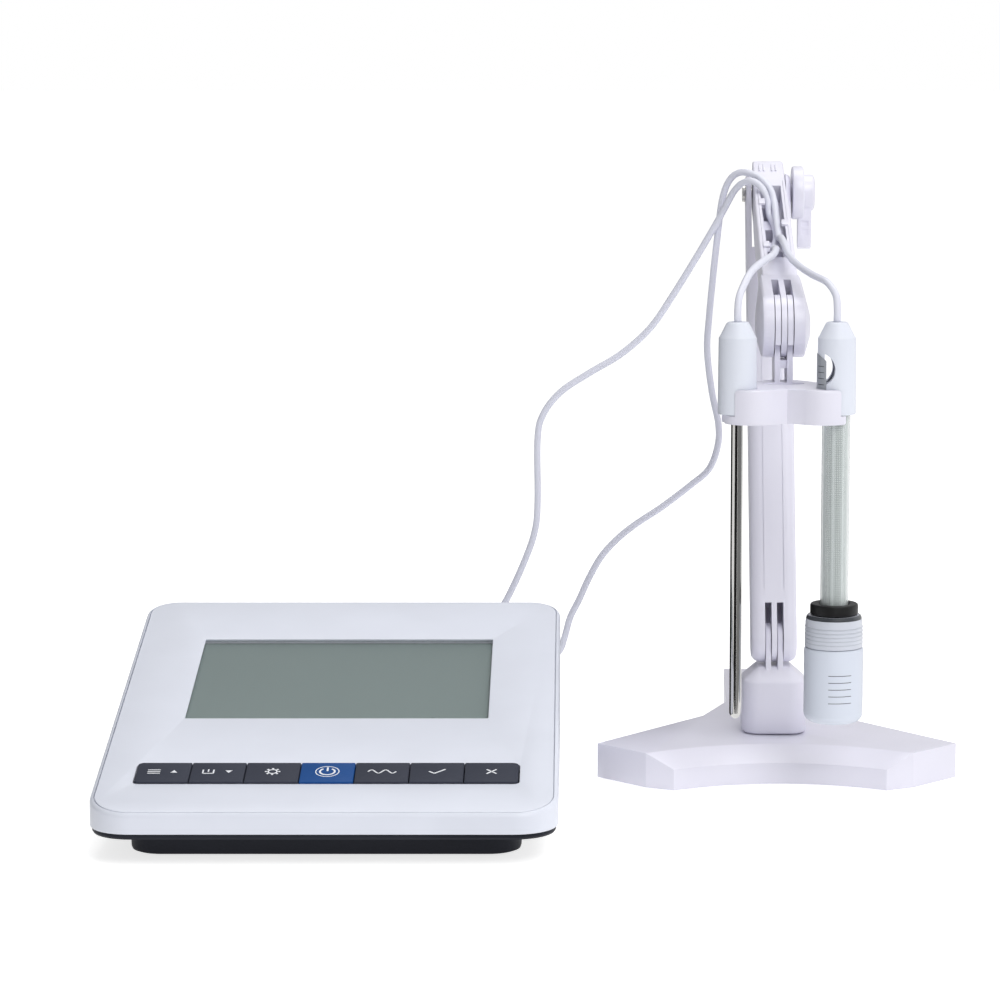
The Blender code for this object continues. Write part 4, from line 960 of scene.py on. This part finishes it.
for number, (along, low, high) in enumerate(((30, -6.2, -3.2), (52, 3.2, 6.2), (74, -6.2, -3.2)), 1):
    hook_shape = slab(on_upper, low, high, along, along + 5, 10.3, 11.7)
    hook = into_piece(f"lead_hook_{number}", hook_shape, STAND_SHELL)
    fixed(carved(hook, width=0.35 * MM), "upper_arm", "stand_plastic")


def row_of_ribs_tree():
    """Half-round ribs lying side by side."""
    tree, add = start_tree("row_of_ribs", Count="Int", Pitch="Vector", Length="Float", Thickness="Float")
    rib = add("GeometryNodeMeshCylinder", Vertices=14, Depth="Length", Radius="Thickness")
    line = add("GeometryNodeMeshLine", Count="Count", Offset="Pitch")
    return end_tree(tree, add, line, rib.outputs["Mesh"], (math.pi / 2, 0, 0))


ROW_OF_RIBS = row_of_ribs_tree()
for side, x in (("left", -4.2), ("right", 1.5)):
    elbow_ribs = grown(f"elbow_ribs_{side}", ROW_OF_RIBS, on_upper_skin(x, -1.0, 12.35), Count=2,
                       Pitch=(1.9 * MM, 0, 0), Length=6 * MM, Thickness=0.45 * MM, Finish=STAND_SHELL)
    fixed(elbow_ribs, "upper_arm", "stand_plastic")
painted(NICKEL, "wrist_pin")

# ---------------------------------------------------------------- elbow knob
# A clamp knob moulded over the elbow bolt's nut: a thick disc, a boss and one wing for the thumb,
# with two shallow grip marks in the wing's front.

knob = into_piece("knob_body", turned([
    (0, 13.9), (2.8, 13.9), (2.8, 10.7), (4.5, 10.7), (4.5, 11.3), (11.8, 11.3), (12.3, 11.6), (12.5, 12.2),
    (12.5, 15.7), (12.3, 16.3), (11.8, 16.6), (8.8, 16.6), (8.6, 16.8), (8.6, 20.2), (8.2, 21.2), (7.3, 21.8),
    (6.6, 22), (0, 22)], on_stand(0, *ELBOW), "X", 72), STAND_SHELL)
wing = [(ELBOW[0] + y, ELBOW[1] + z) for y, z in
        [(-5.5, 0), (5.5, 0), (4.2, -24.5), (1.5, -26.5), (-2.6, -25.5), (-4.4, -22)]]
carved(knob, sideways(wing, 14.2 * MM, 20.4 * MM), operation="UNION")
grip_marks = [block(on_stand(15.6, 90, ELBOW[1] + z), on_stand(19, 94.7, ELBOW[1] + z + 2.6))
              for z in (-15.5, -19.5)]
carved(knob, *grip_marks, width=0.35 * MM, segments=3, angle=35)
fixed(knob, "elbow_knob", "stand_plastic", "elbow_knob")

# ---------------------------------------------------------------- electrode holder
# A double C-clip in ABS: two round lobes joined by a bar, each open at its outer side. Two plates
# rise from its back to the arm's paddle, with a small web and a thumb dish between.

PROBE_Y, CLIP_REACH = -56, 21.2
lobe = arc(15.4, -54.5, 12.4, -137, 62, 40)
holder_half = lobe + [(17, -35), (12, -27), (6.5, -21.5), (0, -20)]
holder_line = [(0, -59.2)] + holder_half + [(-x, y) for x, y in reversed(holder_half[:-1])]


def holder_ring(scale, z):
    return [on_stand(x * scale, (y + 45) * scale - 45, z) for x, y in holder_line]


clip = into_piece("double_clip", loft([holder_ring(*ring) for ring in (
    (0.985, 167), (0.996, 167.3), (1, 167.9), (1, 180.6), (0.995, 181.3), (0.984, 181.8),
    (0.968, 182))]), STAND_SHELL)
plate_line = arc(*WRIST, 13.4, -10, 190, 36) + [(-34, 178), (-14, 178)]
for low, high in LUG_SPANS:
    carved(clip, sideways(plate_line, low, high), operation="UNION")
carved(clip, block(on_stand(-2, -31, 188), on_stand(2, -19, 191.6)), operation="UNION")
ledge, tools = 170.7, [cross_hole(PIN_ROOM, WRIST)]
for side, tube_room in ((-1, 3.0), (1, 6.5)):
    x = side * CLIP_REACH
    for room, mouth, low in ((8.65, 7.15, ledge), (tube_room, tube_room, 150)):
        bore = turned([(0, low), (room, low), (room, 200), (0, 200)], on_stand(x, PROBE_Y, 0))
        near, far = sorted((x, x + side * 20))
        tools += [bore, block(on_stand(near, PROBE_Y - mouth, low), on_stand(far, PROBE_Y + mouth, 200))]
dish = turned([(0, -9), (7.4, -9), (7.45, -8.6), (8.4, 9), (0, 9)])
tools.append(shaped(dish, Matrix.Translation(on_stand(0, -37, 189.6)) @ Matrix.Diagonal((1.2, 0.62, 1, 1))))
carved(clip, *tools)
fixed(clip, "holder", "stand_plastic", "electrode_holder")

# ---------------------------------------------------------------- temperature probe
# A polished stainless tube with a closed round tip, pressed into a white moulded cap. The cap is a
# straight barrel with a cone on top, where the lead goes in.

CAP_SHELL = moulded("cap_shell", (0.735, 0.765, 0.850), 0.40, grain=1800, relief=0.12)
POLISHED = moulded("polished_steel", (0.62, 0.615, 0.60), 0.10, grain=420, relief=0.02, mottle=0.2,
                   metallic=1.0)
LEFT_AXIS, RIGHT_AXIS = on_stand(-CLIP_REACH, PROBE_Y, 0), on_stand(CLIP_REACH, PROBE_Y, 0)


def cap_line(bore, bore_top):
    """A cap's section from its blind bore, round its foot and up to the lead's mouth."""
    return [(0, bore_top), (bore, bore_top), (bore, 171.2), (bore + 0.2, 171), (8.1, 171), (8.3, 171.2),
            (8.4, 171.7), (8.15, 203.4), (8.0, 203.9), (7.6, 204.4), (5.05, 209.5), (4.6, 210.1), (4.1, 210.4),
            (2.1, 210.4), (1.9, 210.1), (0, 210.1)]


def ball_line(radius, middle, angles):
    return [(radius * math.sin(a), middle - radius * math.cos(a)) for a in map(math.radians, angles)]


probe_cap = into_piece("probe_cap", turned(cap_line(2.9, 198.4), LEFT_AXIS, segments=96), CAP_SHELL)
fixed(probe_cap, "temperature_probe", "cap_plastic", "temperature_cap")
probe_line = ball_line(2.6, 40.6, range(0, 91, 10)) + [(2.6, 198.1), (0, 198.1)]
probe_tube = into_piece("probe_tube", turned(probe_line, LEFT_AXIS, segments=64), POLISHED)
fixed(probe_tube, "temperature_probe", "stainless_steel", "temperature_tube")

# ---------------------------------------------------------------- pH electrode
# A glass electrode in a clear tube, its rims darker with painted shade for the dark edges of a clear wall: a
# woven liner with pale ribs stands round the inner stem, which ends in a thin glass bulb. The white cap has a
# round window, with a grey label strip at its edge.


def two_tones(tree, amount, *stops):
    """A colour ramp between two stops, each a position and a colour."""
    ramp = tree.nodes.new("ShaderNodeValToRGB")
    for element, (position, color) in zip(ramp.color_ramp.elements, stops):
        element.position, element.color = position, (*color, 1)
    tree.links.new(amount, ramp.inputs["Fac"])
    return ramp.outputs["Color"]


def clear_skin(name, color, rim, middle, edge, roughness, coat=0.4):
    """A clear or milky wall, thin in its middle. Its rim is denser, and its rim colour is painted shade for the
    dark edges a curved clear wall shows.
    """
    material, shader = new_paint(name, Roughness=roughness, Coat_Weight=coat)
    tree = material.node_tree
    facing = fill(tree.nodes.new("ShaderNodeLayerWeight"), Blend=0.35).outputs["Facing"]
    density = fill(tree.nodes.new("ShaderNodeMapRange"), To_Min=middle, To_Max=edge)
    # The ramp blends towards the rim colour at grazing angles: painted shade at the edges.
    wires(tree, two_tones(tree, facing, (0.55, color), (0.95, rim)), shader.inputs["Base Color"],
          facing, density.inputs["Value"], density.outputs["Result"], shader.inputs["Alpha"])
    return material


# The dark rim colours of the tube and the bulb are painted shade for the dark edges a clear wall shows.
CLEAR_TUBE = clear_skin("clear_tube", (0.80, 0.85, 0.85), (0.14, 0.16, 0.155), 0.16, 0.95, 0.08, coat=1.0)
THIN_GLASS = clear_skin("thin_glass", (0.74, 0.80, 0.80), (0.45, 0.52, 0.52), 0.15, 0.7, 0.04)
SHEATH, sheath_shader = new_paint("woven_sheath", Roughness=0.45)
TURN, THREADS, THREAD_PITCH, RIBS, RIB_SHIFT = 2 * math.pi, 20, 1.6 * MM, 7, 0.208
cloth = SHEATH.node_tree
cloth_place, cloth_centre, around, cloth_axes, rib_share, ribbed = (cloth.nodes.new(kind) for kind in (
    "ShaderNodeTexCoord", "ShaderNodeMapping", "ShaderNodeTexGradient", "ShaderNodeSeparateXYZ",
    "ShaderNodeMapRange", "ShaderNodeMix"))
fill(cloth_centre, Location=(-RIGHT_AXIS[0], -RIGHT_AXIS[1], 0))
around.gradient_type, ribbed.data_type = "RADIAL", "RGBA"
wires(cloth, cloth_place.outputs["Object"], cloth_centre.inputs["Vector"], cloth_centre.outputs[0],
      around.inputs["Vector"], cloth_centre.outputs[0], cloth_axes.inputs[0])
swept = maths(cloth, "MULTIPLY", around.outputs["Fac"], TURN * THREADS)
rise = maths(cloth, "MULTIPLY", cloth_axes.outputs["Z"], TURN / THREAD_PITCH)
threads = [maths(cloth, "SINE", maths(cloth, operation, swept, rise)) for operation in ("ADD", "SUBTRACT")]
weave = two_tones(cloth, maths(cloth, "MULTIPLY", *threads), (0.15, (0.40, 0.44, 0.43)),
                  (0.6, (0.88, 0.93, 0.93)))
rib_wave = maths(cloth, "COSINE", maths(cloth, "MULTIPLY_ADD", around.outputs["Fac"], TURN * RIBS,
                                        -TURN * RIBS * RIB_SHIFT))
fill(rib_share, From_Min=0.25, To_Max=0.75)
ribbed.inputs[7].default_value = (0.93, 0.97, 0.97, 1)
wires(cloth, rib_wave, rib_share.inputs["Value"], rib_share.outputs["Result"], ribbed.inputs[0],
      weave, ribbed.inputs[6], ribbed.outputs[2], sheath_shader.inputs["Base Color"])

electrode_barrel = turned(cap_line(6.4, 200.4), RIGHT_AXIS, segments=96)
electrode_cap = into_piece("electrode_cap_barrel", electrode_barrel, CAP_SHELL)
window_line = arc(-8.4, 190.5, 7.2, -67, 67, 36)
window_tool = loft([[(RIGHT_AXIS[0] + x * MM, (PROBE_Y + y) * MM, z * MM) for x, z in window_line]
                    for y in (-20, 20)])
carved(electrode_cap, window_tool)
fixed(electrode_cap, "ph_electrode", "cap_plastic", "electrode_cap")
sleeve_line = [(4.5, 175.3), (6.1, 175.3), (6.1, 200.1), (4.5, 200.1)]
sleeve = into_piece("inner_sleeve", turned(sleeve_line, RIGHT_AXIS, segments=72), CAP_SHELL)
notch = turned([(0, -20), (7.2, -20), (7.2, 20), (0, 20)],
               (RIGHT_AXIS[0] - 8.4 * MM, RIGHT_AXIS[1], 190.5 * MM), "Y", 72)
fixed(carved(sleeve, notch), "ph_electrode", "cap_plastic", "electrode_sleeve")
stem_line = [(0, 62), (3.1, 62), (3.4, 62.4), (3.4, 182.2), (3.1, 182.5), (0, 182.5)]
stem = into_piece("inner_stem", turned(stem_line, RIGHT_AXIS), SHEATH)
fixed(stem, "ph_electrode", "electrode_glass", "electrode_stem")
tube_line = [(5.2, 48.3), (5.5, 48), (5.8, 48), (6.1, 48.3), (6.1, 175), (5.2, 175)]
outer_tube = into_piece("outer_tube", turned(tube_line, RIGHT_AXIS, segments=96), CLEAR_TUBE)
fixed(outer_tube, "ph_electrode", "display_glass", "electrode_tube")
liner_line = [(4.9, 63), (5.1, 63), (5.1, 174.6), (4.9, 174.6)]
liner = into_piece("woven_liner", turned(liner_line, RIGHT_AXIS), SHEATH)
fixed(liner, "ph_electrode", "electrode_glass")
bulb_line = [(r, min(z, 61.6)) for r, z in ball_line(4.4, 57, range(0, 181, 6))]
bulb = into_piece("sensing_bulb", turned(bulb_line, RIGHT_AXIS), THIN_GLASS)
fixed(bulb, "ph_electrode", "electrode_glass", "glass_bulb")

LABEL = moulded("grey_label", (0.34, 0.36, 0.39), 0.35, grain=1500, relief=0.05)
PRINT = moulded("dark_print", (0.035, 0.037, 0.045), 0.5, grain=1500, relief=0.05)
strip = []
for step in range(15):
    a = math.radians(168 + 4.7 * step)
    top = 197 - (8.4 + 8.4 * math.cos(a)) * 0.8
    corners = [(8.32, 175), (8.5, 175), (8.5, top), (8.32, top)]
    strip.append([(RIGHT_AXIS[0] + r * math.cos(a) * MM, RIGHT_AXIS[1] + r * math.sin(a) * MM, z * MM)
                  for r, z in corners])
fixed(into_piece("label_strip", loft(strip), LABEL), "ph_electrode", "cap_plastic")


def level_marks_tree():
    """Printed marks, one above another, each a short arc round an upright axis."""
    tree, add = start_tree("level_marks", Count="Int", Pitch="Vector", Radius="Float", From="Float",
                           Sweep="Float", Thickness="Float")
    bow = add("GeometryNodeCurveArc", Resolution=96, Radius="Radius", Start_Angle="From", Sweep_Angle="Sweep")
    ink = add("GeometryNodeCurvePrimitiveCircle", Resolution=10, Radius="Thickness")
    mark = add("GeometryNodeCurveToMesh", Curve=bow.outputs["Curve"], Profile_Curve=ink.outputs["Curve"],
               Fill_Caps=True)
    line = add("GeometryNodeMeshLine", Count="Count", Offset="Pitch")
    return end_tree(tree, add, line, mark.outputs["Mesh"])


LEVEL_MARKS = level_marks_tree()


def arc_marks(name, height, count, pitch, radius, start, sweep, thickness, finish):
    """Level marks about the electrode's axis. Lengths are in millimetres and angles in degrees."""
    lowest = Matrix.Translation((RIGHT_AXIS[0], RIGHT_AXIS[1], height * MM))
    return grown(name, LEVEL_MARKS, lowest, Count=count, Pitch=(0, 0, pitch * MM), Radius=radius * MM,
                 From=math.radians(start), Sweep=math.radians(sweep), Thickness=thickness * MM, Finish=finish)


ticks = arc_marks("label_ticks", 184, 4, 2.6, 8.36, 198, 28, 0.2, PRINT)
fixed(ticks, "ph_electrode", "cap_plastic")

# ---------------------------------------------------------------- storage bottle
# A small blow-moulded bottle of milky polyethylene keeps the bulb wet. Its ridged screw cap has a
# smoky rim and grips the tube through a black rubber seal. Plain level marks are printed on its front.

# The bottle's and the cap's rim colours, a little darker than their middles, are painted shade at their edges.
MILKY = clear_skin("milky_bottle", (0.70, 0.745, 0.845), (0.66, 0.69, 0.78), 0.98, 0.86, 0.42, coat=0.1)
MILKY_CAP = clear_skin("milky_cap", (0.72, 0.75, 0.84), (0.58, 0.60, 0.68), 0.86, 0.82, 0.30, coat=0.3)
GLOSSY_RUBBER = moulded("glossy_rubber", (0.006, 0.006, 0.007), 0.5, grain=1500, relief=0.4, coat=0.05)
# A darker grey for the cap's ridges: painted shade for the grooves between them.
PAINTED_RIDGE_SHADE = moulded("thread_shade", (0.50, 0.53, 0.59), 0.4)
heel = [(8.6 + r, z) for r, z in ball_line(4.2, 41.2, range(0, 91, 9))]
bottle_line = [(0, 37.5), (6, 37.4), (7.4, 37.0)] + heel + [
    (12.8, 68.4), (12.7, 69.2), (12.3, 69.7), (10, 69.7), (10, 79.8), (9.7, 80.1), (9.1, 80.1), (8.8, 79.8),
    (8.8, 68), (11.4, 65.5), (11.4, 41.2), (8.6, 38.5), (0, 38.5)]
bottle = into_piece("bottle_body", turned(bottle_line, RIGHT_AXIS, segments=96), MILKY)
fixed(bottle, "storage_bottle", "frosted_bottle", "storage_bottle")
marks = arc_marks("bottle_marks", 47, 5, 3, 12.6, 256, 46, 0.24, PRINT)
fixed(marks, "storage_bottle", "frosted_bottle")
cap_ring = [(10.3, 70.1), (10.5, 70), (12.3, 70), (12.5, 70.2), (12.3, 81), (12.1, 82.2), (11.5, 83.4),
            (11.0, 83.8), (9.9, 83.9), (9.8, 83.7), (9.8, 82.3), (6.4, 82.3), (6.4, 80.4), (10.3, 80.4)]
bottle_cap = into_piece("bottle_cap_ring", turned(cap_ring, RIGHT_AXIS, segments=96), MILKY_CAP)
fixed(bottle_cap, "bottle_cap", "frosted_bottle", "bottle_cap")
# The cap's ridges, in the darker grey that is painted shade for the grooves between them.
ridges = arc_marks("cap_ridges", 72, 5, 1.7, 12.28, 0, 360 * 0.9999, 0.3, PAINTED_RIDGE_SHADE)
fixed(ridges, "bottle_cap", "frosted_bottle")
SMOKED = moulded("smoked_rim", (0.055, 0.06, 0.07), 0.25, coat=0.3)
rim_line = [(10.9, 82.0), (12.05, 82.0), (12.0, 82.9), (11.55, 83.7), (11.0, 83.95), (10.9, 83.6)]
smoked_rim = into_piece("smoked_rim", turned(rim_line, RIGHT_AXIS, segments=96), SMOKED)
fixed(smoked_rim, "bottle_cap", "frosted_bottle")
seal_line = [(6.4, 82.6), (9.2, 82.6), (9.4, 82.8), (9.4, 84), (10.1, 84.3), (10.35, 84.7), (10.35, 88),
             (10.2, 88.5), (9.8, 88.8), (7.4, 88.8), (6.7, 88.3), (6.4, 88.0)]
seal = into_piece("seal_ring", turned(seal_line, RIGHT_AXIS, segments=96), GLOSSY_RUBBER)
fixed(seal, "ph_electrode", "black_rubber", "bottle_seal")
